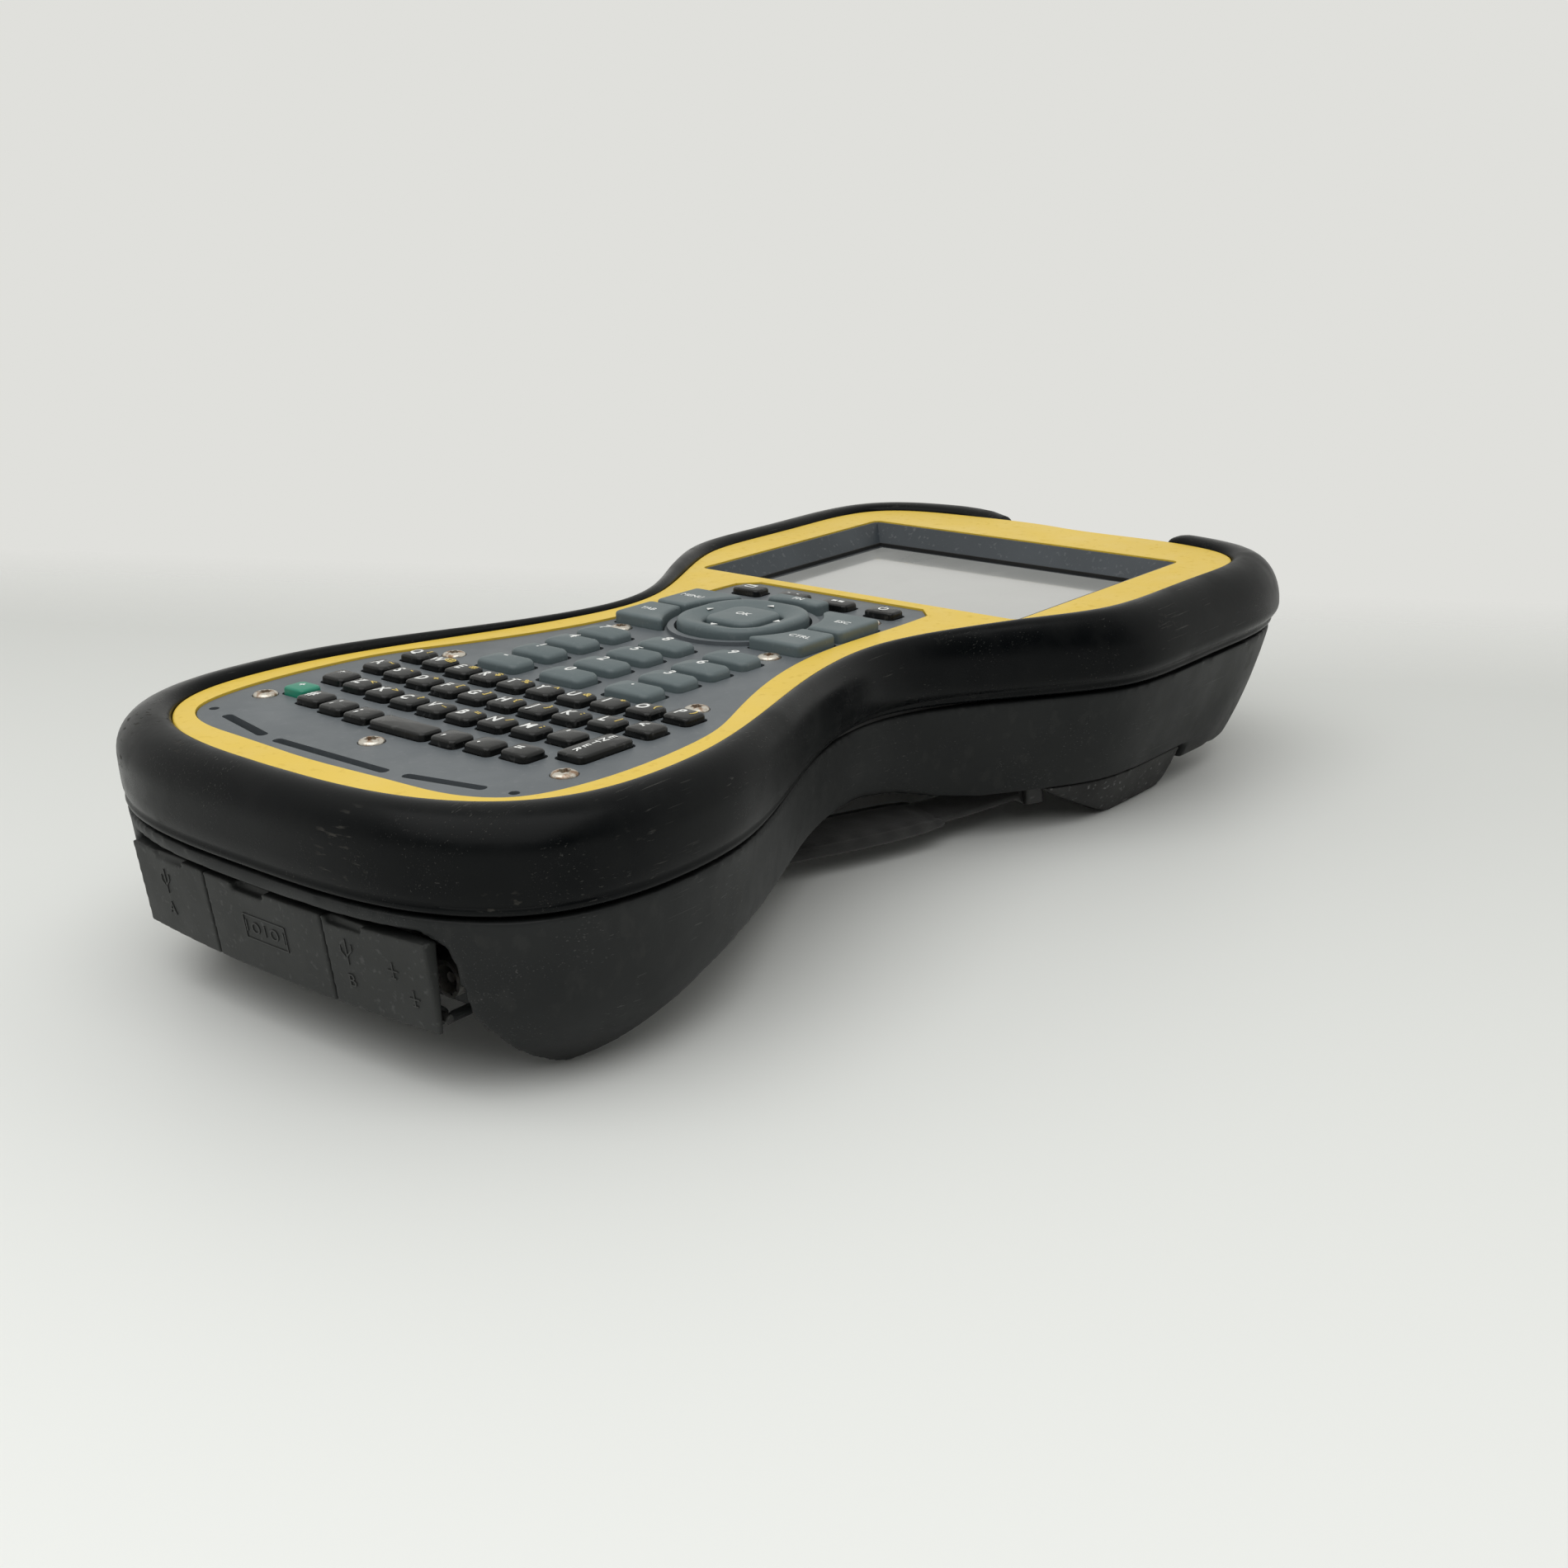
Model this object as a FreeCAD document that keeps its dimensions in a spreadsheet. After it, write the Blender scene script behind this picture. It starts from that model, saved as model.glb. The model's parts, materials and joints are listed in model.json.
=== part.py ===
import FreeCAD, Part
import math
import os
import re
import Sketcher
from FreeCAD import Placement, Rotation, Vector

# Rugged handheld data collector: an hourglass case about 278 mm long that stands on its back.
# Frame: X to the right, Y towards the display end, Z up out of the keypad face.
# The origin is on the table, below the middle of the case.

DIMENSIONS = {
    # Levels above the table
    "face_level": 50.0,
    "bezel_level": 50.4,
    "crest_level": 52.0,
    "bumper_foot_level": 34.7,
    "rim_level": 33.9,
    "door_underside": 11.0,
    "arch_level": 12.0,
    # Plan outline of the yellow bezel
    "bezel_far_half": 59.6,
    "bezel_waist_half": 34.9,
    "bezel_near_half": 56.4,
    "bezel_far_end": 125.6,
    "bezel_near_end": 131.0,
    # Plan outline of the bumper at its widest level
    "bumper_far_half": 70.5,
    "bumper_waist_half": 41.0,
    "bumper_near_half": 65.5,
    "bumper_far_end": 139.0,
    "bumper_near_end": 139.6,
    # Plan outline where the bumper meets the rear housing
    "split_far_half": 68.3,
    "split_waist_half": 35.5,
    "split_near_half": 64.6,
    "split_far_end": 138.2,
    "split_near_end": 139.2,
    # Where the sides of every outline are widest and narrowest
    "far_side_near": 60.0,
    "far_side_far": 88.0,
    "waist_middle": -6.0,
    "near_side": -93.0,
    "horn_gap_left": -20.0,
    "horn_gap_right": 32.0,
    # Walls and gaps
    "shell_wall": 2.4,
    "skirt_wall": 2.0,
    "bezel_thickness": 2.6,
    "panel_thickness": 2.0,
    "fit_gap": 0.15,
    "panel_gap": 0.35,
    "screw_clearance": 0.05,
    "seal_thickness": 1.0,
    "bezel_edge": 0.5,
    "key_gap": 0.3,
    # Display stack
    "screen_half": 47.0,
    "screen_near": 33.0,
    "screen_far": 105.7,
    "surround_slope": 3.6,
    "surround_depth": 4.6,
    "glass_thickness": 1.6,
    "glass_level": 45.0,
    "lcd_width": 90.0,
    "lcd_length": 68.0,
    "lcd_thickness": 5.6,
    # Keypad
    "column_pitch": 8.37,
    "letter_width": 6.9,
    "letter_length": 6.0,
    "letter_height": 1.8,
    "smile_radius": 190.0,
    "row_one": -69.7,
    "row_two": -79.9,
    "row_three": -90.2,
    "row_four": -101.4,
    "digit_pitch_x": 18.47,
    "digit_pitch_y": 9.6,
    "digit_first": -59.2,
    "digit_width": 12.4,
    "digit_length": 7.0,
    "digit_height": 2.5,
    "app_pitch": 13.1,
    "app_row": 20.2,
    "app_width": 8.2,
    "app_length": 5.2,
    "pad_middle": -5.3,
    "pad_width": 27.0,
    "pad_height": 3.0,
    "pad_ring_radius": 16.85,
    "ok_width": 13.7,
    "flange_level": 46.9,
    "flange_thickness": 0.9,
    "flange_reach": 0.5,
    "mat_level": 45.2,
    "mat_thickness": 0.8,
    "board_thickness": 1.6,
    "frame_level": 40.6,
    "frame_thickness": 2.2,
    "main_board_level": 34.6,
    "boss_radius": 3.6,
    "boss_level": 36.0,
    # Plate on the underside that the battery door closes
    "hump_half": 47.0,
    "hump_near": 17.0,
    "hump_far": 97.0,
    "hump_thickness": 5.5,
    # Low side parts of the underside beyond the feet
    "wing_inside": 35.5,
    "wing_near": 86.6,
    "wing_underside": 6.6,
    # Rubber feet under the display end
    "foot_inside": 50.4,
    # Fasteners
    "panel_screw_head": 2.5,
    "panel_screw_shank": 1.25,
    "case_screw_head": 2.9,
    "case_screw_shank": 1.5,
    "screw_head_height": 1.5,
    # Port bay in the near end and its three flaps
    "bay_top_half": 44.4,
    "bay_foot_half": 46.8,
    "bay_top": 31.0,
    "bay_depth": 17.0,
    "bay_front": 139.5,
    "arch_half": 47.8,
    "flap_face": 137.4,
    "flap_back": 132.2,
    "flap_curve": 400.0,
    "flap_lean": 7.0,
    "flap_foot": 12.3,
    "flap_top": 29.3,
    "flap_half_row": 42.0,
    "flap_groove": 17.0,
    "rod_radius": 0.8,
    "rod_back": 130.8,
    "rod_level": 14.4,
    "lug_nose": 1.2,
    "lug_width": 1.6,
    "rod_clearance": 0.05,
    "barrel_inset": 2.0,
    "notch_half": 4.6,
    # Windows in the underside of the far end
    "camera_x": 14.0,
    "flash_x": -6.0,
    "camera_y": 105.0,
    "camera_radius": 6.0,
    "flash_radius": 3.0,
    "window_top": 9.6,
    # Battery bay under the display
    "battery_width": 56.0,
    "battery_length": 60.0,
    "battery_thickness": 16.5,
    "battery_middle": 57.0,
    "battery_level": 16.8,
    "door_width": 64.0,
    "door_length": 70.0,
    "door_thickness": 2.6,
    "latch_radius": 5.0,
    "latch_offset": 24.0,
    "latch_y": 27.6,
    # Hand strap under the waist
    "strap_pad_width": 30.0,
    "strap_pad_thickness": 4.4,
    "strap_width": 12.0,
    "strap_thickness": 2.6,
    "strap_bar_radius": 1.3,
    "strap_turn": -20.1,
    "strap_x": 25.3,
}

doc = FreeCAD.newDocument("data_collector")
sheet = doc.addObject("Spreadsheet::Sheet", "Sizes")
for row, (alias, number) in enumerate(DIMENSIONS.items(), start=1):
    sheet.set(f"A{row}", alias)
    sheet.set(f"B{row}", str(number))
    sheet.setAlias(f"B{row}", alias)
doc.recompute()

nodes = []


def size(alias):
    """The number held by one cell of the sheet."""
    return float(sheet.get(alias))


def bound(text):
    """An expression on the sheet, written with the bare aliases."""
    def cell(match):
        word = match.group(0)
        return f"Sizes.{word}" if word in DIMENSIONS else word
    return re.sub(r"[a-z][a-z_]+", cell, str(text))


def bind(item, **expressions):
    """Bind properties of an object; an underscore pair in a name stands for a dot."""
    for name, text in expressions.items():
        item.setExpression(name.replace("__", "."), bound(text))


def keep(item, label):
    """Name an object as one sub-part of the product."""
    item.Label = label
    nodes.append(item)
    return item


# ---------------------------------------------------------------- plan outlines

def smooth_step(t):
    return t * t * (3.0 - 2.0 * t)


def superellipse(half, reach, power, steps):
    """Points of a rounded end, from its side (x = half) to its tip (x = 0)."""
    points = []
    for step in range(1, steps):
        angle = math.pi / 2 * step / steps
        x = half * math.cos(angle) ** (2.0 / power)
        y = reach * math.sin(angle) ** (2.0 / power)
        points.append((x, y))
    points.append((0.0, reach))
    return points


def outline_size(kinds, share, which):
    """One dimension of an outline, blended between two kinds of outline."""
    low, high = (size(f"{kind}_{which}") for kind in kinds)
    return low + (high - low) * share


def hourglass(kinds, inset=0.0, share=0.0, far_power=4.5, near_power=2.7, far_inset=None):
    """Right-hand half of an outline, from the far tip to the near tip."""
    waist_half, near_half, near_end = (outline_size(kinds, share, which) - inset
                                       for which in ("waist_half", "near_half", "near_end"))
    far_half, far_end = (outline_size(kinds, share, which) - (inset if far_inset is None else far_inset)
                         for which in ("far_half", "far_end"))
    far_reach = far_end - size("far_side_far")
    near_reach = near_end + size("near_side")
    middle = size("waist_middle")
    far_run = size("far_side_near") - middle
    near_run = size("near_side") - middle
    points = [(x, size("far_side_far") + y)
              for x, y in reversed(superellipse(far_half, far_reach, far_power, 6))]
    points.append((far_half, size("far_side_far")))
    points.append((far_half, size("far_side_near") + 8.0))
    for step in range(5, -1, -1):
        t = step / 6.0
        points.append((waist_half + (far_half - waist_half) * smooth_step(t), middle + far_run * t))
    for step in range(1, 7):
        t = step / 6.0
        points.append((waist_half + (near_half - waist_half) * smooth_step(t), middle + near_run * t))
    points += [(x, size("near_side") - y)
               for x, y in superellipse(near_half, near_reach, near_power, 6)]
    return points


def bezel_outline(inset=0.0):
    return hourglass(("bezel", "bezel"), inset)


def case_outline(share, inset=0.0, far_inset=None):
    """Outer outline: the split line at share 0, the widest line of the bumper at share 1."""
    return hourglass(("split", "bumper"), inset, share, 3.9, 3.0, far_inset)


def loop(half, level=0.0):
    """Closed smooth wire through half an outline and its mirror image."""
    mirrored = [(-x, y) for x, y in reversed(half[1:-1])]
    curve = Part.BSplineCurve()
    curve.interpolate(Points=[Vector(x, y, level) for x, y in half + mirrored], PeriodicFlag=True)
    return Part.Wire([curve.toShape()])


def prism(wire, height):
    """Solid standing on a closed flat wire."""
    return Part.Face(wire).extrude(Vector(0, 0, height))


def block(x0, x1, y0, y1, z0, z1):
    return Part.makeBox(x1 - x0, y1 - y0, z1 - z0, Vector(x0, y0, z0))


def side_cut(profile, half):
    """Solid across the whole width whose Y-Z section is the closed profile."""
    corners = [Vector(-half, y, z) for y, z in profile]
    wire = Part.makePolygon(corners + [corners[0]])
    return Part.Face(wire).extrude(Vector(2 * half, 0, 0))


def rounded_slab(x0, x1, y0, y1, z0, z1, corner):
    solid = block(x0, x1, y0, y1, z0, z1)
    upright = [e for e in solid.Edges if abs(e.tangentAt(e.FirstParameter).z) > 0.9]
    return solid.makeFillet(corner, upright)


def drill(x, y, z0, z1, radius):
    return Part.makeCylinder(radius, z1 - z0, Vector(x, y, z0))


def feature(label, shape):
    """A sub-part whose shape is worked out above the feature tree."""
    item = doc.addObject("Part::Feature", label)
    item.Shape = shape
    return keep(item, label)


# ---------------------------------------------------------------- layout of the keys and screws

def smile(x):
    """How far a key at x sits above the middle of its curved row."""
    radius = size("smile_radius")
    return radius - math.sqrt(radius ** 2 - x ** 2)


def letter_row(alias, places):
    """Centres of the letter keys of one curved row; place 0 is the leftmost column, 9 the last."""
    middles = [(place - 4.5) * size("column_pitch") for place in places]
    return [(x, size(alias) + smile(x)) for x in middles]


LETTER_KEYS = {
    "letter_keys_upper": letter_row("row_one", range(10)) + letter_row("row_two", range(10)),
    "letter_keys_lower": letter_row("row_three", range(9)) + letter_row("row_four", (1, 2, 3, 6, 7, 8)),
}
PANEL_SCREWS = [(42.4, -101.7), (34.7, -59.1), (21.5, -22.0), (21.0, 13.2)]
PANEL_SCREWS = PANEL_SCREWS + [(-x, y) for x, y in PANEL_SCREWS] + [(0.0, -109.4)]
# Each case screw: its place and the level that its head is sunk to.
CASE_SCREWS = [(46.0, 106.0, 8.6), (28.0, -3.0, 18.6), (49.0, -82.0, 16.8), (37.0, 25.5, 13.0)]
CASE_SCREWS = CASE_SCREWS + [(-x, y, level) for x, y, level in CASE_SCREWS]

face = size("face_level")
rim = size("rim_level")
bumper_foot = size("bumper_foot_level")
bezel_top = size("bezel_level")
gap = size("fit_gap")
key_gap = size("key_gap")
wall = size("shell_wall")
panel_foot = face - size("panel_thickness")
door_floor = size("door_underside")
arch = size("arch_level")
pad_middle = size("pad_middle")
key_foot = size("flange_level")
side_key_radius = size("pad_ring_radius") + 0.9
screw_gap = size("screw_clearance")
seal = size("seal_thickness")

# ---------------------------------------------------------------- case shells


# Edge of the keypad panel: its right side from the display end, and its foot.
PANEL_SIDE = [(28, 25), (28.2, 8), (28.2, -12), (30.2, -25), (36, -43), (42.3, -57), (46.7, -67),
              (49.2, -79), (50, -96), (48.6, -107), (44.8, -115.6)]
PANEL_FOOT = [(38, -120), (22, -122), (0, -123)]


def panel_wire(grow, level):
    """Edge of the keypad panel: straight along the display, then one smooth flared curve."""
    side = [(x + grow, y) for x, y in PANEL_SIDE] + [(x, y - grow) for x, y in PANEL_FOOT]
    points = side + [(-x, y) for x, y in reversed(side[:-1])]
    curve = Part.BSplineCurve()
    curve.interpolate(Points=[Vector(x, y, level) for x, y in points])
    right = Vector(side[0][0], side[0][1], level)
    left = Vector(-side[0][0], side[0][1], level)
    top_right = Vector(24, 29 + grow, level)
    top_left = Vector(-24, 29 + grow, level)
    edges = [curve.toShape(), Part.makeLine(left, top_left), Part.makeLine(top_left, top_right),
             Part.makeLine(top_right, right)]
    return Part.Wire(Part.__sortEdges__(edges))


def make_bezel():
    """Yellow front housing: a face plate with a skirt that stands on the seal of the case."""
    thickness = size("bezel_thickness")
    plate = prism(loop(bezel_outline(), bezel_top - thickness), thickness)
    top_edges = [e for e in plate.Edges if e.BoundBox.ZMin > bezel_top - 0.01]
    plate = plate.makeFillet(size("bezel_edge"), top_edges)
    skirt_foot = rim + seal
    height = bezel_top - thickness - skirt_foot
    outside = prism(loop(bezel_outline(), skirt_foot), height)
    inside = prism(loop(bezel_outline(size("skirt_wall")), skirt_foot), height)
    screen = rounded_slab(-size("screen_half"), size("screen_half"), size("screen_near"),
                          size("screen_far"), face - 6, face + 6, 2.0)
    keys = prism(panel_wire(size("panel_gap"), face - 6), 12)
    return plate.fuse(outside.cut(inside)).cut(screen).cut(keys).removeSplitter()


def bumper_body():
    """Outer form of the bumper: blended from the split line to its widest line, then rounded in."""
    levels = [(0.0, 0.0, 0.0), (3.2, 0.55, 0.0), (6.6, 0.9, 0.0), (9.6, 1.0, 0.0), (12.6, 1.0, 0.6),
              (15.0, 1.0, 2.6), (16.6, 1.0, 5.2), (17.3, 1.0, 7.2)]
    sections = [loop(case_outline(share, inset), bumper_foot + height)
                for height, share, inset in levels]
    return Part.makeLoft(sections, True, False)


def horn_gap(low, high, trim=0.0):
    """Space between the two horns of the bumper at the far end."""
    return block(size("horn_gap_left") + trim, size("horn_gap_right") - trim,
                 size("bezel_far_end") - 8, size("bumper_far_end") + 5, low, high)


def make_bumper():
    """Rubber ring round the bezel, higher than the face, broken between its two horns."""
    bore = prism(loop(bezel_outline(-gap), bumper_foot - 1), 30)
    lip = Part.makeLoft([loop(bezel_outline(-gap), bezel_top - 0.4),
                         loop(bezel_outline(-gap - 3.2), size("crest_level") + 1.0)], True, True)
    return bumper_body().cut(bore).cut(lip).cut(horn_gap(bumper_foot - 2, face + 8))


# Underside of the case along Y: legs, hand hollow, battery hump and sloped far end.
LEG_LINE = [(-140, 34.0), (-139.4, 27.0), (-134, 9), (-127, 1.5), (-121, 0.0), (-111, 0.0), (-104, 3.0),
            (-96, 8.0), (-87, 13.0)]
BELLY_LINE = [(-76, 16.3), (-62, 17.0), (-8, 17.0), (4, 15.5), (14, 12.6), (24, 11.0), (93, 11.0),
              (98, 7.0), (112, 6.0), (121, 12.0), (131, 24.0)]


# Levels of the lower shell, and how far it is drawn in there at its near part and its far part.
HOUSING_LEVELS = [(rim, 0.0, 0.0), (24.0, 0.9, 2.4), (12.0, 4.0, 6.3), (5.0, 9.0, 9.4), (0.0, 14.0, 12.2)]


def housing_loft(inset, lift):
    """Form of the lower shell, drawn in towards the table."""
    sections = [loop(case_outline(0.0, inset + draw, inset + far_draw), level + lift)
                for level, draw, far_draw in HOUSING_LEVELS]
    return Part.makeLoft(sections, True)


def make_rear_housing():
    """Lower shell: legs at the near end, arched port bay, sealing flange, bosses and battery bay."""
    form = housing_loft(0.0, 0.0)
    top_line = [(138.2, 33.5), (138.2, 40.0), (-140, 40.0)]
    outside = form.common(side_cut(LEG_LINE + BELLY_LINE + top_line, 80))
    for x in (-80.0, size("wing_inside")):
        wing = block(x, x + 80.0 - size("wing_inside"), size("wing_near"), 99.0,
                     size("wing_underside"), 12.0)
        outside = outside.fuse(wing.common(form))
    bay_back = -size("bay_front") + size("bay_depth") + wall
    floor = [(bay_back, arch + wall), (-98, arch + wall), (-87, arch + wall + 1.0)]
    floor += [(y, z + wall) for y, z in BELLY_LINE] + [(133.0, 31.5), (133.0, 45.0), (bay_back, 45.0)]
    cavity = housing_loft(wall, 1.0).common(side_cut(floor, 80))
    shell = outside.cut(cavity)
    flange = prism(loop(case_outline(0.0), rim - wall), wall)
    flange = flange.cut(prism(loop(bezel_outline(4.2), rim - 3), 4))
    hump = block(-size("hump_half"), size("hump_half"), size("hump_near"), size("hump_far"),
                 door_floor, door_floor + size("hump_thickness")).common(outside)
    shell = shell.fuse(flange.common(outside)).fuse(hump)
    for x, y, level in CASE_SCREWS:
        boss = drill(x, y, level - 6, rim, size("boss_radius")).common(outside)
        boss = boss.fuse(drill(x, y, rim - 3, size("boss_level"), size("boss_radius")))
        shell = shell.fuse(boss)
    for x, y, level in CASE_SCREWS:
        shell = shell.cut(drill(x, y, -1, level, size("case_screw_head") + gap))
        shell = shell.cut(drill(x, y, -1, 40, size("case_screw_shank") + screw_gap))
    for solid in (port_bay(), battery_bay(), socket_holes(), camera_holes()):
        shell = shell.cut(solid)
    half_lug = size("lug_width") / 2
    for x in (size("flap_groove"), size("flap_half_row") - half_lug):
        shell = shell.fuse(rod_lug(x - half_lug)).fuse(rod_lug(-x - half_lug))
    return shell.cut(along_x(-size("rod_back"), size("rod_level"), -60, 60, size("rod_radius") + 0.01))


def port_bay():
    """Recess for the ports: wider at its foot, drawn in at its top corners, open below."""
    top, foot = size("bay_top_half"), size("bay_foot_half")
    high = size("bay_top")
    corners = [(-foot, arch), (foot, arch), (top + 1, high - 6), (top, high - 2.5), (top - 4, high),
               (-top + 4, high), (-top, high - 2.5), (-top - 1, high - 6)]
    front = -size("bay_front")
    wire = Part.makePolygon([Vector(x, front - 6, z) for x, z in corners + corners[:1]])
    recess = Part.Face(wire).extrude(Vector(0, size("bay_depth") + 6, 0))
    below = side_cut([(front - 6, -1), (front - 6, arch + 0.01), (-86, arch + 0.01), (-86, -1)],
                     size("arch_half"))
    return recess.fuse(below)


def battery_bay():
    """Recess of the door, and the mouth that the battery goes through."""
    middle = size("battery_middle")
    door_half, door_reach = size("door_width") / 2 + gap, size("door_length") / 2 + gap
    door = rounded_slab(-door_half, door_half, middle - door_reach, middle + door_reach,
                        door_floor - 3, door_floor + size("door_thickness") + 0.1, 4.0)
    half, reach = size("battery_width") / 2 + 0.6, size("battery_length") / 2 + 0.6
    mouth = rounded_slab(-half, half, middle - reach, middle + reach, door_floor, door_floor + 10, 2.0)
    latch_room = Part.makeCompound([
        drill(x, size("latch_y"), door_floor, door_floor + 10, size("latch_radius") + 3.4)
        for x in (-size("latch_offset"), size("latch_offset"))])
    latch_room = latch_room.common(block(-60, 60, 0, 60, door_floor + 1.7, door_floor + 6))
    return door.fuse(mouth).fuse(latch_room)


def camera_holes():
    """Two windows in the sloped far part of the underside."""
    return Part.makeCompound([
        drill(size(f"{name}_x"), size("camera_y"), 0, size("window_top"), size(f"{name}_radius") + gap)
        for name in ("camera", "flash")])


def along_y(x, z, y0, y1, radius):
    return Part.makeCylinder(radius, y1 - y0, Vector(x, y0, z), Vector(0, 1, 0))


def along_x(y, z, x0, x1, radius):
    return Part.makeCylinder(radius, x1 - x0, Vector(x0, y, z), Vector(1, 0, 0))


def rod_lug(x):
    """Arm from the back wall of the bay that carries the hinge rod of the flaps."""
    y, z, nose = -size("rod_back"), size("rod_level"), size("lug_nose")
    far_x = x + size("lug_width")
    arm = block(x, far_x, y, -size("bay_front") + size("bay_depth") + 0.5, z - nose, z + nose)
    return arm.fuse(along_x(y, z, x, far_x, nose))


# Sockets of the port bay: low and high X, low and high Z of the box ones.
# X and radius of the round ones.
SOCKET_FRONT = -127.6
SOCKET_BACK = -114.0
BOX_SOCKETS = {"usb_host": (-36.0, -22.8, 16.0, 22.6), "serial": (-15.4, 15.4, 16.0, 28.4),
               "usb_device": (20.0, 28.0, 16.0, 20.0)}
ROUND_SOCKETS = {"audio": (31.8, 2.7), "power": (38.0, 3.4)}
ROUND_SOCKET_LEVEL = 19.6


def socket_holes():
    """Holes in the back wall of the bay, a little larger than the sockets in them."""
    y0, y1 = SOCKET_FRONT, SOCKET_BACK
    holes = [block(x0 - gap, x1 + gap, y0, y1, z0 - gap, z1 + gap)
             for x0, x1, z0, z1 in BOX_SOCKETS.values()]
    holes += [along_y(x, ROUND_SOCKET_LEVEL, y0, y1, radius + gap)
              for x, radius in ROUND_SOCKETS.values()]
    return Part.makeCompound(holes)


def make_gasket():
    """Rubber seal between the flange of the lower shell and the skirt of the bezel."""
    ring = prism(loop(bezel_outline(), rim), seal)
    ring = ring.cut(prism(loop(bezel_outline(3.0), rim - 1), 3))
    for x, y, _ in CASE_SCREWS:
        ring = ring.cut(drill(x, y, rim - 1, rim + 3, size("boss_radius") + gap))
    return ring


def make_mid_frame():
    """Magnesium plate across the case that the boards, the display and the screws hold to."""
    level = size("frame_level")
    plate = prism(loop(bezel_outline(3.0), level), size("frame_thickness"))
    display_room = block(-45.6, 45.6, 34.4, 104.4, level - 1, level + 5)
    speaker_room = block(-19, 19, -121.6, -112.4, level - 1, level + 5)
    plate = plate.cut(display_room).cut(speaker_room)
    for x, y, _ in CASE_SCREWS:
        plate = plate.fuse(drill(x, y, size("boss_level"), level + 0.5, size("boss_radius")))
    for x, y, _ in CASE_SCREWS:
        plate = plate.cut(drill(x, y, 30, 44, size("case_screw_shank") + screw_gap))
    for x, y in PANEL_SCREWS:
        plate = plate.cut(drill(x, y, 30, 44, size("panel_screw_shank") + screw_gap))
    return plate


# ---------------------------------------------------------------- keys and keypad panel

def key_solid(x, y, width, length, top, corner=1.2, crown=0.5):
    """A key cap with a thin flange below it that keeps it behind the panel."""
    cap = rounded_slab(x - width / 2, x + width / 2, y - length / 2, y + length / 2, key_foot, top,
                       corner)
    cap = cap.makeFillet(crown, [e for e in cap.Edges if e.BoundBox.ZMin > top - 0.01])
    half, reach = width / 2 + size("flange_reach"), length / 2 + size("flange_reach")
    flange = block(x - half, x + half, y - reach, y + reach, key_foot, key_foot + size("flange_thickness"))
    return cap.fuse(flange)


def side_key_solid(x0, x1, y0, y1, top, grow=0.0):
    """A key beside the navigation ring, hollowed to the curve of the ring."""
    cap = rounded_slab(x0 - grow, x1 + grow, y0 - grow, y1 + grow, key_foot, top, 1.2)
    return cap.cut(drill(0, pad_middle, key_foot - 1, top + 1, side_key_radius - grow))


SIDE_KEYS = {
    "side_key_upper_left": (-27.0, -12.5, -4.8, 9.4),
    "side_key_lower_left": (-27.0, -12.5, -18.6, -6.2),
    "side_key_upper_right": (12.5, 27.0, -4.8, 9.4),
    "side_key_lower_right": (12.5, 27.0, -18.6, -6.2),
    "side_key_top": (-7.6, 7.6, 11.6, 16.4),
}
letter_top = face + size("letter_height")
digit_top = face + size("digit_height")
pad_top = face + size("pad_height")


def plain_key(label, x, y, width, length, top, corner=1.2, crown="0.5"):
    """A key as a body: flange and cap padded from bound sketches, then rounded."""
    body = doc.addObject("PartDesign::Body", label)
    bind(body, Placement__Base__x=x, Placement__Base__y=y, Placement__Base__z="flange_level")
    flange_width, flange_length = (f"({text}) + 2 * flange_reach" for text in (width, length))
    pad(body, rectangle(body, flange_width, flange_length), "flange_thickness")
    cap = pad(body, rectangle(body, width, length), f"({top}) - flange_level")
    foot = key_foot + size("flange_thickness") + 0.01
    uprights = [n for n, e in edges_of(cap) if e.BoundBox.ZMax > foot - key_foot and is_upright(e)]
    rounded = round_edges(body, cap, uprights, corner)
    rims = [n for n, e in edges_of(rounded) if e.BoundBox.ZMin > rounded.Shape.BoundBox.ZMax - 0.01]
    round_edges(body, rounded, rims, crown)
    return keep(body, label)


def rectangle(body, width, length):
    """Sketch of a rectangle centred on the body, its two sizes bound to the sheet."""
    sketch = body.newObject("Sketcher::SketchObject", "Outline")
    plane = [item for item in body.Origin.OriginFeatures if item.Role == "XY_Plane"][0]
    sketch.AttachmentSupport = (plane, [""])
    sketch.MapMode = "FlatFace"
    corners = [Vector(-1, -1, 0), Vector(1, -1, 0), Vector(1, 1, 0), Vector(-1, 1, 0)]
    for start, end in zip(corners, corners[1:] + corners[:1]):
        sketch.addGeometry(Part.LineSegment(start, end))
    for side in range(4):
        sketch.addConstraint(Sketcher.Constraint("Coincident", side, 2, (side + 1) % 4, 1))
        sketch.addConstraint(Sketcher.Constraint("Vertical" if side % 2 else "Horizontal", side))
    sketch.addConstraint(Sketcher.Constraint("Symmetric", 0, 1, 1, 2, -1, 1))
    for name, kind, side, text in (("width", "DistanceX", 0, width), ("length", "DistanceY", 1, length)):
        number = sketch.addConstraint(Sketcher.Constraint(kind, side, 1, side, 2, 2.0))
        sketch.renameConstraint(number, name)
        sketch.setExpression("Constraints." + name, bound(text))
    return sketch


def pad(body, sketch, height):
    item = body.newObject("PartDesign::Pad", "Pad")
    item.Profile = sketch
    bind(item, Length=height)
    doc.recompute()
    return item


def edges_of(item):
    return [(f"Edge{number}", edge) for number, edge in enumerate(item.Shape.Edges, start=1)]


def is_upright(edge):
    return len(edge.Vertexes) == 2 and abs(edge.tangentAt(edge.FirstParameter).z) > 0.99


def round_edges(body, base, names, radius):
    item = body.newObject("PartDesign::Fillet", "Rounding")
    item.Base = (base, names)
    bind(item, Radius=radius)
    doc.recompute()
    return item


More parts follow.
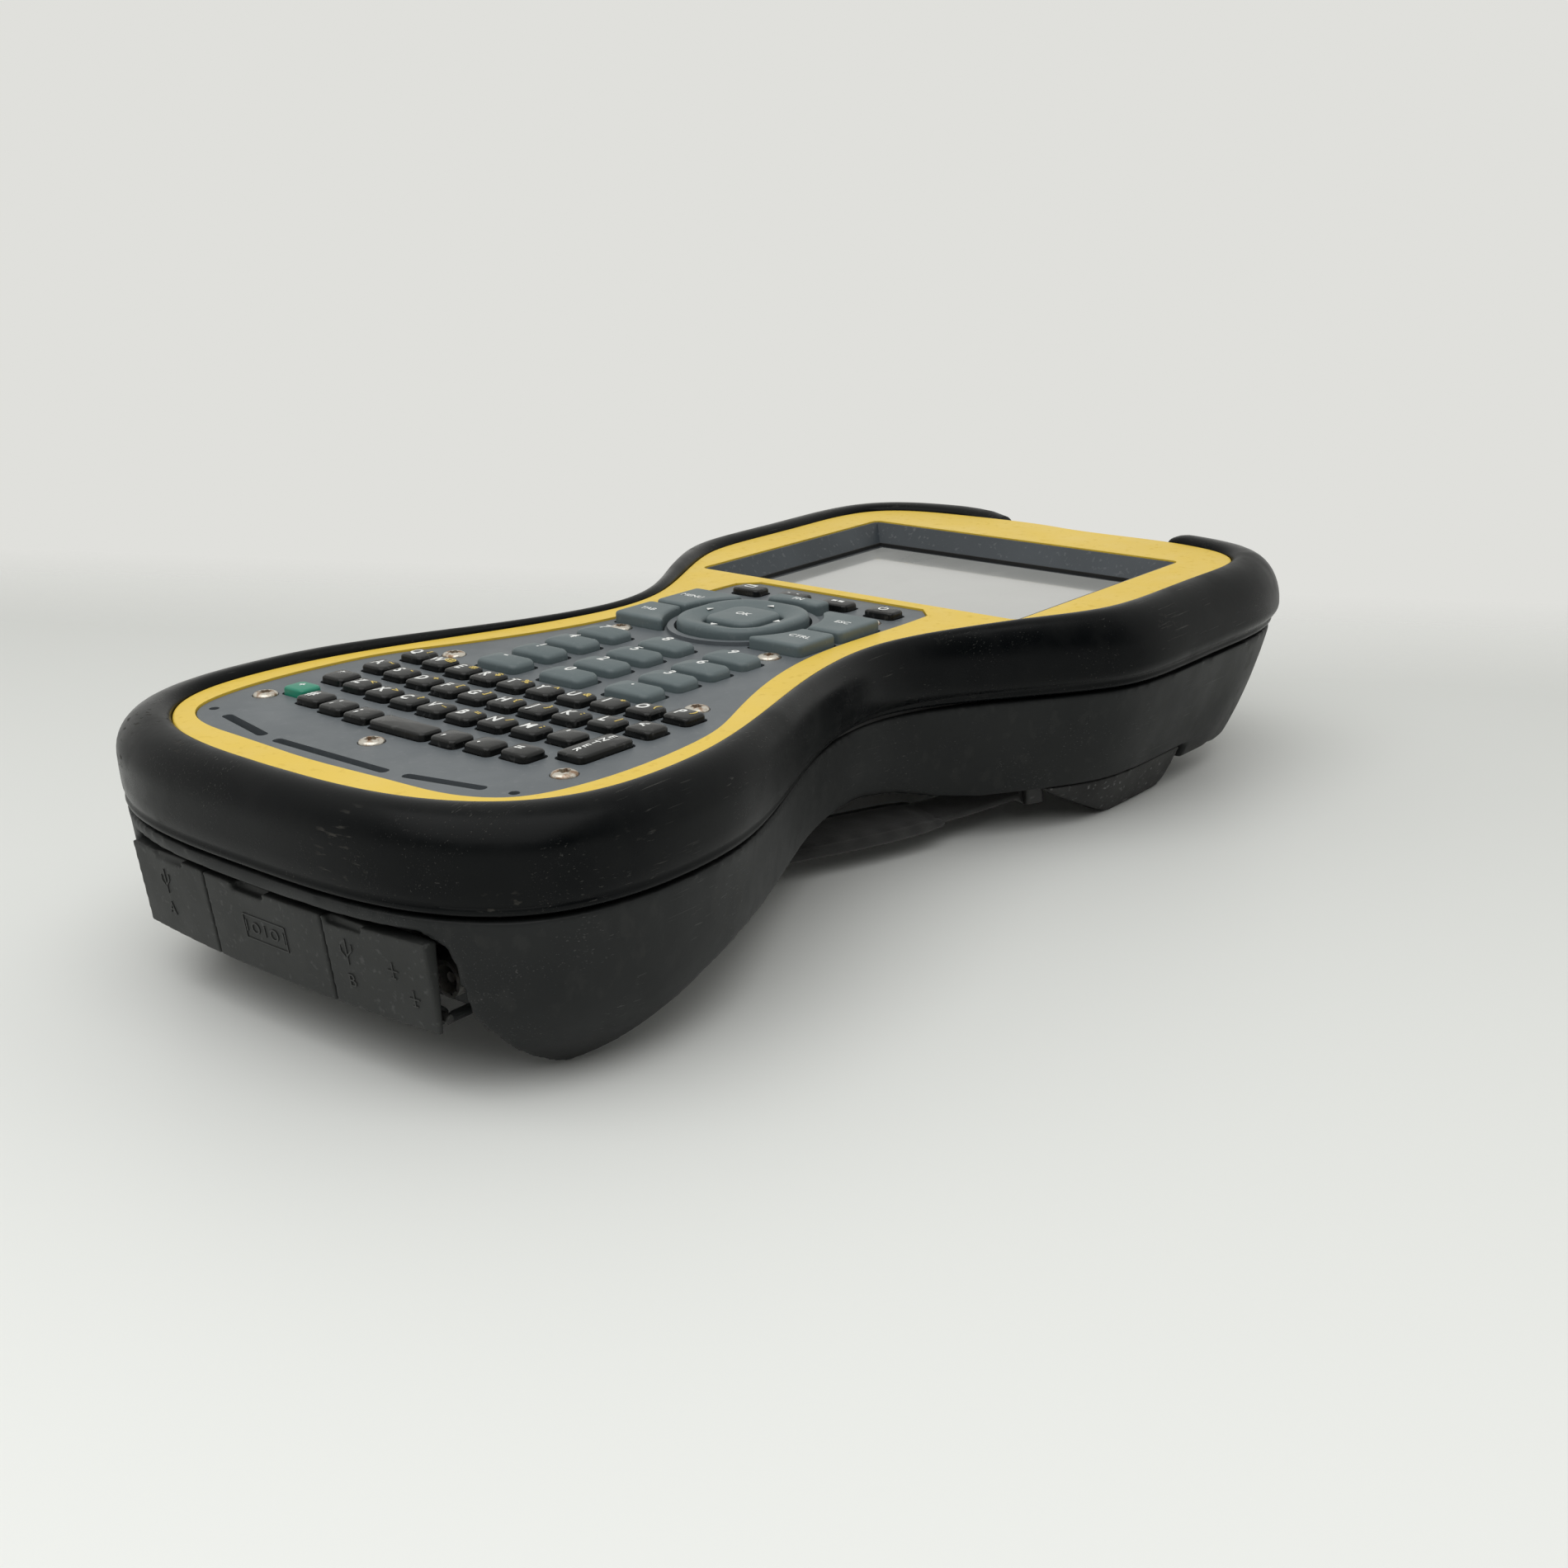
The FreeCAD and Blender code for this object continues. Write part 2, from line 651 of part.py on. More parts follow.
def slab(label, width, length, height, x="0", y="0", level="0", corner="1"):
    """A flat piece as a body: one bound pad with rounded upright corners."""
    body = doc.addObject("PartDesign::Body", label)
    bind(body, Placement__Base__x=x, Placement__Base__y=y, Placement__Base__z=level)
    base = pad(body, rectangle(body, width, length), height)
    round_edges(body, base, [n for n, e in edges_of(base) if is_upright(e)], corner)
    return keep(body, label)


def cut_node(label, item, tools):
    """Cut shared tools out of a bound body; the result is the sub-part."""
    nodes.remove(item)
    item.Label = label + "_blank"
    tool = doc.addObject("Part::Feature", label + "_tool")
    tool.Shape = Part.makeCompound(tools)
    cut = doc.addObject("Part::Cut", label)
    cut.Base = item
    cut.Tool = tool
    return keep(cut, label)


def join_nodes(label, first, second):
    """Fuse two bound bodies into one sub-part."""
    nodes.remove(first)
    nodes.remove(second)
    joined = doc.addObject("Part::Fuse", label)
    joined.Base = first
    joined.Tool = second
    return keep(joined, label)


def key_windows(depth0, depth1):
    """Clearance holes for all the keys, between two levels."""
    tools = []
    for centres in LETTER_KEYS.values():
        tools += [(x, y, size("letter_width"), size("letter_length")) for x, y in centres]
    tools += [(x, y, size("digit_width"), size("digit_length")) for x, y in DIGITS.values()]
    tools += [(x, y, size("app_width"), size("app_length")) for x, y in APPS.values()]
    tools += list(WIDE_KEYS.values())
    solids = [rounded_slab(x - w / 2 - key_gap, x + w / 2 + key_gap, y - d / 2 - key_gap,
                           y + d / 2 + key_gap, depth0, depth1, 1.4) for x, y, w, d in tools]
    between = block(-60, 60, -60, 60, depth0, depth1)
    solids += [side_key_solid(x0, x1, y0, y1, depth1, key_gap).common(between)
               for x0, x1, y0, y1 in SIDE_KEYS.values()]
    solids.append(drill(0, pad_middle, depth0, depth1, size("pad_ring_radius") - 1.5))
    return solids


DIGITS = {f"digit_key_{name}": ((column - 1) * size("digit_pitch_x"),
                                size("digit_first") + row * size("digit_pitch_y"))
          for row, names in enumerate((("minus", "0", "point"), "123", "456", "789"))
          for column, name in enumerate(names)}
APPS = {f"app_key_{number}": ((number - 2.5) * size("app_pitch"), size("app_row"))
        for number in range(1, 5)}
WIDE_KEYS = {
    "space_key": (0.0, size("row_four"), 15.8, 5.6),
    "enter_key": (37.7, -89.4, 6.9, 14.0),
    "option_key": (-37.2, -96.6, 6.6, 5.4),
}


# Slots of the speaker: X of the middle, half length and turn in degrees.
SPEAKER_SLOTS = [(-28.4, 8.8, -12), (0, 16.0, 0), (28.4, 8.8, 12)]
MICROPHONE_HOLES = [(-42.6, -113.6), (42.6, -113.6)]


def make_panel():
    """Grey keypad panel with a raised ring, key windows, screw seats and speaker slots."""
    panel = prism(panel_wire(0.0, panel_foot), size("panel_thickness"))
    ring = drill(0, pad_middle, face - 0.5, face + 0.9, size("pad_ring_radius"))
    ring = ring.cut(drill(0, pad_middle, face - 1, face + 2, size("pad_ring_radius") - 1.5))
    panel = panel.fuse(ring)
    panel = panel.cut(Part.makeCompound(key_windows(panel_foot - 1, face + 5)))
    for x, y in PANEL_SCREWS:
        panel = panel.cut(drill(x, y, face - 0.8, face + 2, size("panel_screw_head") + gap))
        panel = panel.cut(drill(x, y, panel_foot - 1, face + 2, size("panel_screw_shank") + gap))
    for x, half, turn in SPEAKER_SLOTS:
        slot = rounded_slab(-half, half, -1.1, 1.1, panel_foot - 1, face + 1, 1.0)
        slot.Placement = Placement(Vector(x, -119.0 + abs(x) * 0.08, 0), Rotation(Vector(0, 0, 1), turn))
        panel = panel.cut(slot)
    for x, y in MICROPHONE_HOLES:
        panel = panel.cut(drill(x, y, panel_foot - 1, face + 1, 1.0))
    return panel


def screw(x, y, head_level, tip_level, head, shank, way):
    """A screw with a domed head and a driver socket; way is 1 for a head on top, -1 below."""
    height = size("screw_head_height")
    seat, up = Vector(x, y, head_level), Vector(0, 0, way)
    head_part = Part.makeCylinder(head, height, seat, up)
    socket = Part.makeCylinder(head * 0.42, height, seat + up * height / 2, up)
    top = head_level + way * height
    rim_edges = [e for e in head_part.Edges if abs(e.BoundBox.Center.z - top) < 0.01]
    head_part = head_part.makeFillet(0.4, rim_edges).cut(socket)
    return head_part.fuse(Part.makeCylinder(shank, abs(tip_level - head_level), seat, -up))


# ---------------------------------------------------------------- parts of the port bay

def flap_form():
    """Tall drum whose near side is the gently curved, leaning face of the flap row."""
    radius, face_y = size("flap_curve"), -size("flap_face")
    drum = Part.makeCylinder(radius, 80, Vector(0, radius, -40))
    lean = Rotation(Vector(1, 0, 0), size("flap_lean"))
    drum.Placement = Placement(Vector(0, face_y, size("flap_top")), lean)
    return drum


def make_flap(x0, x1, notch_middle):
    """Rubber port cover: face plate with a finger notch, plug rim and hinge barrel on the rod."""
    back, foot, top = -size("flap_back"), size("flap_foot"), size("flap_top")
    y, z = -size("rod_back"), size("rod_level")
    inset, half_notch = size("barrel_inset"), size("notch_half")
    plate = block(x0, x1, back - 8, back, foot, top).common(flap_form())
    notch = block(notch_middle - half_notch, notch_middle + half_notch, back - 8, back - 3.2,
                  top - 1.3, top + 1)
    rim_part = rounded_slab(x0 + 3, x1 - 3, back, back + 2.4, z + 2.6, top - 2.2, 1.0)
    barrel = along_x(y, z, x0 + inset, x1 - inset, 1.7)
    web = block(x0 + inset, x1 - inset, back - 0.2, y, z - 1.2, z + 1.2)
    bore = along_x(y, z, x0 - 1, x1 + 1, size("rod_radius") + size("rod_clearance"))
    return plate.cut(notch).fuse([rim_part, barrel, web]).cut(bore)


def box_socket(x0, x1, z0, z1, margin, tongue):
    """Metal-shelled socket: a mouth facing the flap with a contact tongue in it."""
    shell = block(x0, x1, SOCKET_FRONT, SOCKET_BACK, z0, z1)
    mouth = block(x0 + margin, x1 - margin, SOCKET_FRONT - 1, SOCKET_FRONT + 8, z0 + margin, z1 - margin)
    middle = (z0 + z1) / 2
    plate = block(x0 + 2 * margin, x1 - 2 * margin, SOCKET_FRONT + 1, SOCKET_FRONT + 8.5,
                  middle - tongue / 2, middle + tongue / 2)
    return shell.cut(mouth).fuse(plate)


def serial_socket(x0, x1, z0, z1):
    """Nine-pin socket: a flange plate, a D-shaped shell and two rows of pins."""
    middle = (z0 + z1) / 2
    plate = block(x0, x1, SOCKET_FRONT + 5, SOCKET_BACK, z0, z1)
    outer = [(-9.2, 4.6), (9.2, 4.6), (7.8, -4.6), (-7.8, -4.6)]
    inner = [(-8.4, 3.9), (8.4, 3.9), (7.1, -3.9), (-7.1, -3.9)]
    shells = []
    for corners in (outer, inner):
        wire = Part.makePolygon([Vector(x, SOCKET_FRONT, middle + z) for x, z in corners + corners[:1]])
        shells.append(Part.Face(wire).extrude(Vector(0, 5.5, 0)))
    solid = plate.fuse(shells[0]).cut(shells[1])
    pins = [(-5.54 + 2.77 * n, 1.42) for n in range(5)] + [(-4.155 + 2.77 * n, -1.42) for n in range(4)]
    for x, z in pins:
        solid = solid.fuse(along_y(x, middle + z, SOCKET_FRONT + 0.6, SOCKET_FRONT + 6, 0.5))
    return solid


def round_socket(x, radius, bore, pin):
    solid = along_y(x, ROUND_SOCKET_LEVEL, SOCKET_FRONT, SOCKET_BACK, radius)
    solid = solid.cut(along_y(x, ROUND_SOCKET_LEVEL, SOCKET_FRONT - 1, SOCKET_FRONT + 9, bore))
    if pin:
        solid = solid.fuse(along_y(x, ROUND_SOCKET_LEVEL, SOCKET_FRONT + 1, SOCKET_FRONT + 9.5, pin))
    return solid


# ---------------------------------------------------------------- hand strap

# Centre line of the strap in its own plane, from the bar behind the legs to the one by the right foot.
STRAP_LINE = [(-86, 10.4), (-76, 9.0), (-62, 6.2), (-40, 4.4), (-14, 3.6), (10, 3.8), (28, 5.4),
              (45, 8.0)]
PAD_LINE = STRAP_LINE[2:6]


def strap_place():
    return Placement(Vector(size("strap_x"), 0, 0), Rotation(Vector(0, 0, 1), size("strap_turn")))


def ribbon(line, width, thickness):
    """A flat band that follows a line in the Y-Z plane."""
    half = thickness / 2
    curves = []
    for side in (half, -half):
        curve = Part.BSplineCurve()
        curve.interpolate(Points=[Vector(-width / 2, y, z + side) for y, z in line])
        curves.append(curve)
    ends = [Part.makeLine(curves[0].value(t0), curves[1].value(t1))
            for t0, t1 in ((curves[0].FirstParameter, curves[1].FirstParameter),
                           (curves[0].LastParameter, curves[1].LastParameter))]
    wire = Part.Wire(Part.__sortEdges__([curves[0].toShape(), ends[0], curves[1].toShape(), ends[1]]))
    return Part.Face(wire).extrude(Vector(width, 0, 0))


def make_strap():
    """Webbing with a looped end round each bar and a wide pad sewn on where the hand goes."""
    width, bar = size("strap_width"), size("strap_bar_radius")
    band = ribbon(STRAP_LINE, width, size("strap_thickness"))
    band = band.fuse(ribbon(PAD_LINE, size("strap_pad_width"), size("strap_pad_thickness")))
    for y, z in (STRAP_LINE[0], STRAP_LINE[-1]):
        band = band.fuse(along_x(y, z, -width / 2, width / 2, bar + 1.7))
    for y, z in (STRAP_LINE[0], STRAP_LINE[-1]):
        band = band.cut(along_x(y, z, -width, width, bar + size("rod_clearance")))
    band.Placement = strap_place()
    return band


def strap_bar(y, z, ceiling):
    """Steel bar between two lugs that hang from the case."""
    half = size("strap_width") / 2
    solid = along_x(y, z, -half - 2, half + 2, size("strap_bar_radius"))
    for x in (-half - 2.4, half + 0.4):
        solid = solid.fuse(rounded_slab(x, x + 2.0, y - 2.4, y + 2.4, z - 1.9, ceiling, 0.8))
    solid.Placement = strap_place()
    return solid


def make_rear_feet():
    """Two rubber blocks under the display end, long six-sided, flush with the sides of the case."""
    profile = [(37, door_floor), (42, 8), (58.5, 0), (81.5, 0), (83.2, 2.5), (83.4, door_floor)]
    form = housing_loft(0.0, 0.0)
    inside = size("foot_inside")
    feet = []
    for x in (-80.0, inside):
        wire = Part.makePolygon([Vector(x, y, z) for y, z in profile + profile[:1]])
        foot = Part.Face(wire).extrude(Vector(80.0 - inside, 0, 0))
        feet.append(foot.common(form))
    return Part.makeCompound(feet)


# ---------------------------------------------------------------- the assembly

feature("front_bezel", make_bezel())
feature("front_bumper", make_bumper())
feature("rear_housing", make_rear_housing())
feature("mid_frame", make_mid_frame())
feature("keypad_panel", make_panel())
antenna_cap = prism(loop(case_outline(0.0, 0.8), bumper_foot + 0.2), 12.0)
antenna_cap = antenna_cap.common(horn_gap(bumper_foot, face, 0.4))
feature("antenna_cap", antenna_cap.cut(prism(loop(bezel_outline(-0.3), 30), 30)))

for label, centres in LETTER_KEYS.items():
    feature(label, Part.makeCompound([
        key_solid(x, y, size("letter_width"), size("letter_length"), letter_top) for x, y in centres]))
for label, (x, y) in DIGITS.items():
    column = round(x / size("digit_pitch_x"))
    row = round((y - size("digit_first")) / size("digit_pitch_y"))
    plain_key(label, f"{column} * digit_pitch_x", f"digit_first + {row} * digit_pitch_y", "digit_width",
              "digit_length", "face_level + digit_height", "1.6", "0.7")
for number in range(1, 5):
    plain_key(f"app_key_{number}", f"{number - 2.5} * app_pitch", "app_row", "app_width", "app_length",
              "face_level + letter_height")
for label, (x, y, width, length) in WIDE_KEYS.items():
    plain_key(label, x, y, width, length, "face_level + letter_height", "1.2", "0.5")
for label, (x0, x1, y0, y1) in SIDE_KEYS.items():
    cap = side_key_solid(x0, x1, y0, y1, pad_top - 0.4)
    cap = cap.makeFillet(0.7, [e for e in cap.Edges if e.BoundBox.ZMin > pad_top - 0.41])
    feature(label, cap)

pad_ring = rounded_slab(-size("pad_width") / 2, size("pad_width") / 2, -size("pad_width") / 2,
                        size("pad_width") / 2, key_foot, pad_top, 10.5)
pad_ring = pad_ring.makeFillet(1.0, [e for e in pad_ring.Edges if e.BoundBox.ZMin > pad_top - 0.01])
ok_hole = size("ok_width") / 2 + 0.6
pad_ring = pad_ring.cut(rounded_slab(-ok_hole, ok_hole, -ok_hole, ok_hole, key_foot - 1, pad_top + 1, 4.0))
pad_ring = pad_ring.cut(drill(0, 0, key_foot - 1, key_foot + 2.2, 11.0))
pad_ring.translate(Vector(0, pad_middle, 0))
feature("navigation_ring", pad_ring)
pivot = drill(0, pad_middle, key_foot, key_foot + 1.4, 10.5).cut(drill(0, pad_middle, 40, 60, 9.0))
feature("navigation_pivot", pivot)
ok_half = size("ok_width") / 2
ok_key = rounded_slab(-ok_half, ok_half, pad_middle - ok_half, pad_middle + ok_half, key_foot, pad_top, 3.5)
feature("ok_key", ok_key.makeFillet(0.8, [e for e in ok_key.Edges if e.BoundBox.ZMin > pad_top - 0.01]))

board_tools = [drill(x, y, 30, 60, 2.0) for x, y in PANEL_SCREWS]
for label, level, thickness in (("key_mat", "mat_level", "mat_thickness"),
                                ("keypad_board", "mat_level - board_thickness", "board_thickness")):
    wide = slab(label + "_near", "88", "54", thickness, y="-80", level=level, corner="8")
    narrow = slab(label + "_far", "52", "78", thickness, y="-14", level=level, corner="3")
    cut_node(label, join_nodes(label + "_blank", wide, narrow), board_tools)

glass_middle = (size("screen_near") + size("screen_far")) / 2
slab("touch_glass", "2 * screen_half - 1.4", "screen_far - screen_near - 1.4", "glass_thickness",
     y="(screen_near + screen_far) / 2", level="glass_level - glass_thickness", corner="1.5")
slab("lcd_module", "lcd_width", "lcd_length", "lcd_thickness", y="(screen_near + screen_far) / 2",
     level="glass_level - glass_thickness - 0.4 - lcd_thickness", corner="1")


def frame_ring(margin, inner, level, height, slope):
    """Rectangular ring round the display; slope draws its opening in towards its foot."""
    half = size("screen_half") - margin
    reach = (size("screen_far") - size("screen_near")) / 2 - margin
    outside = rounded_slab(-half, half, glass_middle - reach, glass_middle + reach, level,
                           level + height, 1.8)
    rings = []
    for z, draw in ((level - 0.01, inner + slope), (level + height + 0.01, inner)):
        x, y = half - draw, reach - draw
        corners = [(-x, -y), (x, -y), (x, y), (-x, y), (-x, -y)]
        rings.append(Part.makePolygon([Vector(cx, glass_middle + cy, z) for cx, cy in corners]))
    return outside.cut(Part.makeLoft(rings, True, True))


glass_seal = frame_ring(0.7, 4.4, size("glass_level"), 0.5, 0.0)
feature("case_seals", Part.makeCompound([make_gasket(), glass_seal]))
feature("display_surround", frame_ring(size("panel_gap"), 0.6, size("glass_level") + 0.5,
                                       size("surround_depth"), size("surround_slope")))
board = slab("main_board_plate", "82", "78", "board_thickness", y="70.5", level="main_board_level",
             corner="2")
contacts = slab("battery_contacts", "22", "3.6", "main_board_level - battery_level - 4",
                y="battery_middle + battery_length / 2 + 2.2", level="battery_level + 4", corner="0.6")
join_nodes("main_board", board, contacts)
slab("port_board", "80", "19", "board_thickness", y="-109.6", level="arch_level + shell_wall", corner="1")
slab("battery_pack", "battery_width", "battery_length", "battery_thickness", y="battery_middle",
     level="battery_level", corner="2.5")
door = slab("battery_door", "door_width", "door_length", "door_thickness", y="battery_middle",
            level="door_underside", corner="4")
latch_tools = [drill(x, size("latch_y"), 0, 30, size("latch_radius") + 0.1)
               for x in (-size("latch_offset"), size("latch_offset"))]
cut_node("battery_door", door, latch_tools)
for side, x in (("left", -size("latch_offset")), ("right", size("latch_offset"))):
    y = size("latch_y")
    disc = drill(x, y, door_floor, door_floor + 4.4, size("latch_radius"))
    groove = block(x - 3.6, x + 3.6, y - 0.7, y + 0.7, door_floor - 1, door_floor + 1.2)
    tongue = rounded_slab(x - 1.8, x + 1.8, y - 7.6, y, door_floor + 4.4, door_floor + 5.3, 0.8)
    feature(f"door_latch_{side}", disc.cut(groove).fuse(tongue))
feature("rear_feet", make_rear_feet())

groove, row_half = size("flap_groove"), size("flap_half_row")
feature("port_flap_left", make_flap(-row_half, -groove - 0.2, -29.0))
feature("port_flap_centre", make_flap(-groove + 0.2, groove - 0.2, -3.6))
feature("port_flap_right", make_flap(groove + 0.2, row_half, 22.6))
feature("flap_hinge_rod", along_x(-size("rod_back"), size("rod_level"), -row_half, row_half,
                                  size("rod_radius")))
sockets = [box_socket(*BOX_SOCKETS["usb_host"], 0.8, 1.6),
           box_socket(*BOX_SOCKETS["usb_device"], 0.5, 0.8),
           serial_socket(*BOX_SOCKETS["serial"]),
           round_socket(*ROUND_SOCKETS["audio"], 1.75, 0.0),
           round_socket(*ROUND_SOCKETS["power"], 2.6, 0.9)]
feature("port_sockets", Part.makeCompound(sockets))
slab("speaker", "36", "8", "7", y="-116.8", level="frame_level - 1", corner="2")
feature("camera_windows", Part.makeCompound([
    drill(size(f"{name}_x"), size("camera_y"), 6.9, 8.6, size(f"{name}_radius"))
    for name in ("camera", "flash")]))
slab("camera_module", "11", "11", "7", x="camera_x", y="camera_y", level="window_top", corner="1")
feature("panel_screws", Part.makeCompound([
    screw(x, y, face - 0.8, 41.0, size("panel_screw_head"), size("panel_screw_shank"), 1)
    for x, y in PANEL_SCREWS]))
feature("case_screws", Part.makeCompound([
    screw(x, y, level, 42.0, size("case_screw_head"), size("case_screw_shank"), -1)
    for x, y, level in CASE_SCREWS]))
feature("hand_strap", make_strap())
feature("strap_bars", Part.makeCompound([strap_bar(*STRAP_LINE[0], 13.4),
                                         strap_bar(*STRAP_LINE[-1], door_floor)]))
doc.recompute()

# ---------------------------------------------------------------- checks and export

for item in doc.Objects:
    troubles = [state for state in item.State if state in ("Invalid", "Error")]
    if troubles:
        raise RuntimeError(f"{item.Name} is {troubles}")
for item in nodes:
    if item.Shape.isNull() or not item.Shape.isValid() or not item.Shape.Solids:
        raise RuntimeError(f"{item.Label} has no valid solid")
print(len(nodes), "nodes")

os.makedirs("parts", exist_ok=True)
for item in nodes:
    item.Shape.exportStep(os.path.join("parts", item.Label + ".step"))
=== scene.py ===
import json
import math

import bmesh
import bpy
import numpy as np
from mathutils import Matrix, Vector

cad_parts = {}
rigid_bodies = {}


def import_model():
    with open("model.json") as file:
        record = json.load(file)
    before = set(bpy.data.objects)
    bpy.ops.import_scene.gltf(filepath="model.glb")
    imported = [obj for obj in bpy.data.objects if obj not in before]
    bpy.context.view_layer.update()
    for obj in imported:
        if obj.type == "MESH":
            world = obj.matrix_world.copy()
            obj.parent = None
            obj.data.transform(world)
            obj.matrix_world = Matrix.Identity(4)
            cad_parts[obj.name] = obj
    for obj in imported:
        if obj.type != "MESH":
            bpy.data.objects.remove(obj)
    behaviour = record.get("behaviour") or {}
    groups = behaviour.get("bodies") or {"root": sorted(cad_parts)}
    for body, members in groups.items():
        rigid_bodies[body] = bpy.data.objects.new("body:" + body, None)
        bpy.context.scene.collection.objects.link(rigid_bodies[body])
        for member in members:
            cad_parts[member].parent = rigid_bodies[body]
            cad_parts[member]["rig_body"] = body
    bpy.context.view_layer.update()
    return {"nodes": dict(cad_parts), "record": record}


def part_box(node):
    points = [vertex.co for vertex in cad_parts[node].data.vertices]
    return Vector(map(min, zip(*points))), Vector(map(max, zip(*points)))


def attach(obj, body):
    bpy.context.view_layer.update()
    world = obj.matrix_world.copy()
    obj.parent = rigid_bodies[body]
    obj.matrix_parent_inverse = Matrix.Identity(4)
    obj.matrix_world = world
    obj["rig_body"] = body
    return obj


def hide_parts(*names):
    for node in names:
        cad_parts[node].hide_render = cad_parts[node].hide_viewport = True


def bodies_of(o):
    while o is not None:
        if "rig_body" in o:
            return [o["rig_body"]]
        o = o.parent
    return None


# Rugged handheld data collector, dressed around its CAD frame. Sizes here are in millimetres.

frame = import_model()
scene = bpy.context.scene
MM = 0.001

# ---------------------------------------------------------------- shader helpers


class Tree:
    """The shader nodes of one material, with object coordinates in metres."""

    def __init__(self, name, roughness=0.5, **constants):
        self.material = bpy.data.materials.new(name)
        self.material.use_nodes = True
        self.nodes = self.material.node_tree.nodes
        self.links = self.material.node_tree.links
        self.shader = self.nodes["Principled BSDF"]
        self.shader.inputs["Roughness"].default_value = roughness
        for label, value in constants.items():
            self.shader.inputs[label.replace("_", " ")].default_value = value
        self.place = self.node("TexCoord").outputs["Object"]

    def node(self, kind, settings=None, **inputs):
        made = self.nodes.new("ShaderNode" + kind)
        for label, value in (settings or {}).items():
            setattr(made, label, value)
        for label, value in inputs.items():
            self.feed(made.inputs[label.replace("_", " ")], value)
        return made

    def feed(self, socket, value):
        if isinstance(value, bpy.types.NodeSocket):
            self.links.new(value, socket)
        else:
            socket.default_value = value

    def noise(self, size_mm, detail=3.0, stretch=(1, 1, 1), turn=0.0, shift=0.0):
        """Soft noise whose features are about size_mm across, drawn out by stretch."""
        scale = [1000.0 / size_mm / s for s in stretch]
        place = self.node("Mapping", Vector=self.place, Scale=scale, Rotation=(0, 0, math.radians(turn)),
                          Location=(shift, shift, shift))
        return self.node("TexNoise", Vector=place.outputs[0], Scale=1.0, Detail=detail).outputs["Fac"]

    def span(self, value, low, high, start=0.0, end=1.0):
        """Map a value from low...high to start...end, clamped."""
        made = self.node("MapRange", Value=value, From_Min=low, From_Max=high, To_Min=start, To_Max=end)
        return made.outputs["Result"]

    def sums(self, operation, first, second):
        made = self.nodes.new("ShaderNodeMath")
        made.operation = operation
        self.feed(made.inputs[0], first)
        self.feed(made.inputs[1], second)
        return made.outputs[0]

    def times(self, first, second):
        return self.sums("MULTIPLY", first, second)

    def plus(self, first, second):
        return self.sums("ADD", first, second)

    def blend(self, share, first, second):
        """A colour between two colours."""
        made = self.nodes.new("ShaderNodeMix")
        made.data_type = "RGBA"
        colours = [socket for socket in made.inputs if socket.type == "RGBA"]
        self.feed(made.inputs[0], share)
        self.feed(colours[0], first if isinstance(first, bpy.types.NodeSocket) else (*first, 1.0))
        self.feed(colours[1], second if isinstance(second, bpy.types.NodeSocket) else (*second, 1.0))
        return [socket for socket in made.outputs if socket.type == "RGBA"][0]

    def axis(self, letter):
        return self.node("SeparateXYZ", Vector=self.place).outputs[letter]

    def streaks(self, turn, width_mm, shift=0.0):
        """Fine scratches along one direction, broken into short runs."""
        lines = self.noise(width_mm, 2.0, (1, 45, 1), turn, shift)
        runs = self.noise(14.0, 2.0, shift=shift + 3.0)
        return self.times(self.span(lines, 0.66, 0.70), self.span(runs, 0.52, 0.60))

    def finish(self, colour, roughness=None, height=None, depth_mm=0.02):
        """Plug in the colour, the roughness and a bump of that depth."""
        self.feed(self.shader.inputs["Base Color"], colour)
        if roughness is not None:
            self.feed(self.shader.inputs["Roughness"], roughness)
        if height is not None:
            bump = self.node("Bump", Height=height, Distance=depth_mm * MM, Strength=1.0)
            self.links.new(bump.outputs[0], self.shader.inputs["Normal"])
        return self.material


def moulded(name, dark, light, rough=(0.4, 0.55), grain_mm=0.5, depth_mm=0.015, dust=0.0, **constants):
    """Moulded plastic or paint: two close tones, a fine grain and a little settled dust."""
    tree = Tree(name, **constants)
    tone = tree.blend(tree.span(tree.noise(22.0, 4.0), 0.35, 0.65), dark, light)
    specks = tree.times(tree.span(tree.noise(1.3, 6.0, shift=7.0), 0.60, 0.70), dust)
    tone = tree.blend(specks, tone, [0.5 * c + 0.25 for c in light])
    roughness = tree.span(tree.noise(9.0, 5.0, shift=2.0), 0.3, 0.7, *rough)
    roughness = tree.plus(roughness, tree.times(specks, 0.3))
    return tree.finish(tone, roughness, tree.noise(grain_mm, 2.0), depth_mm)


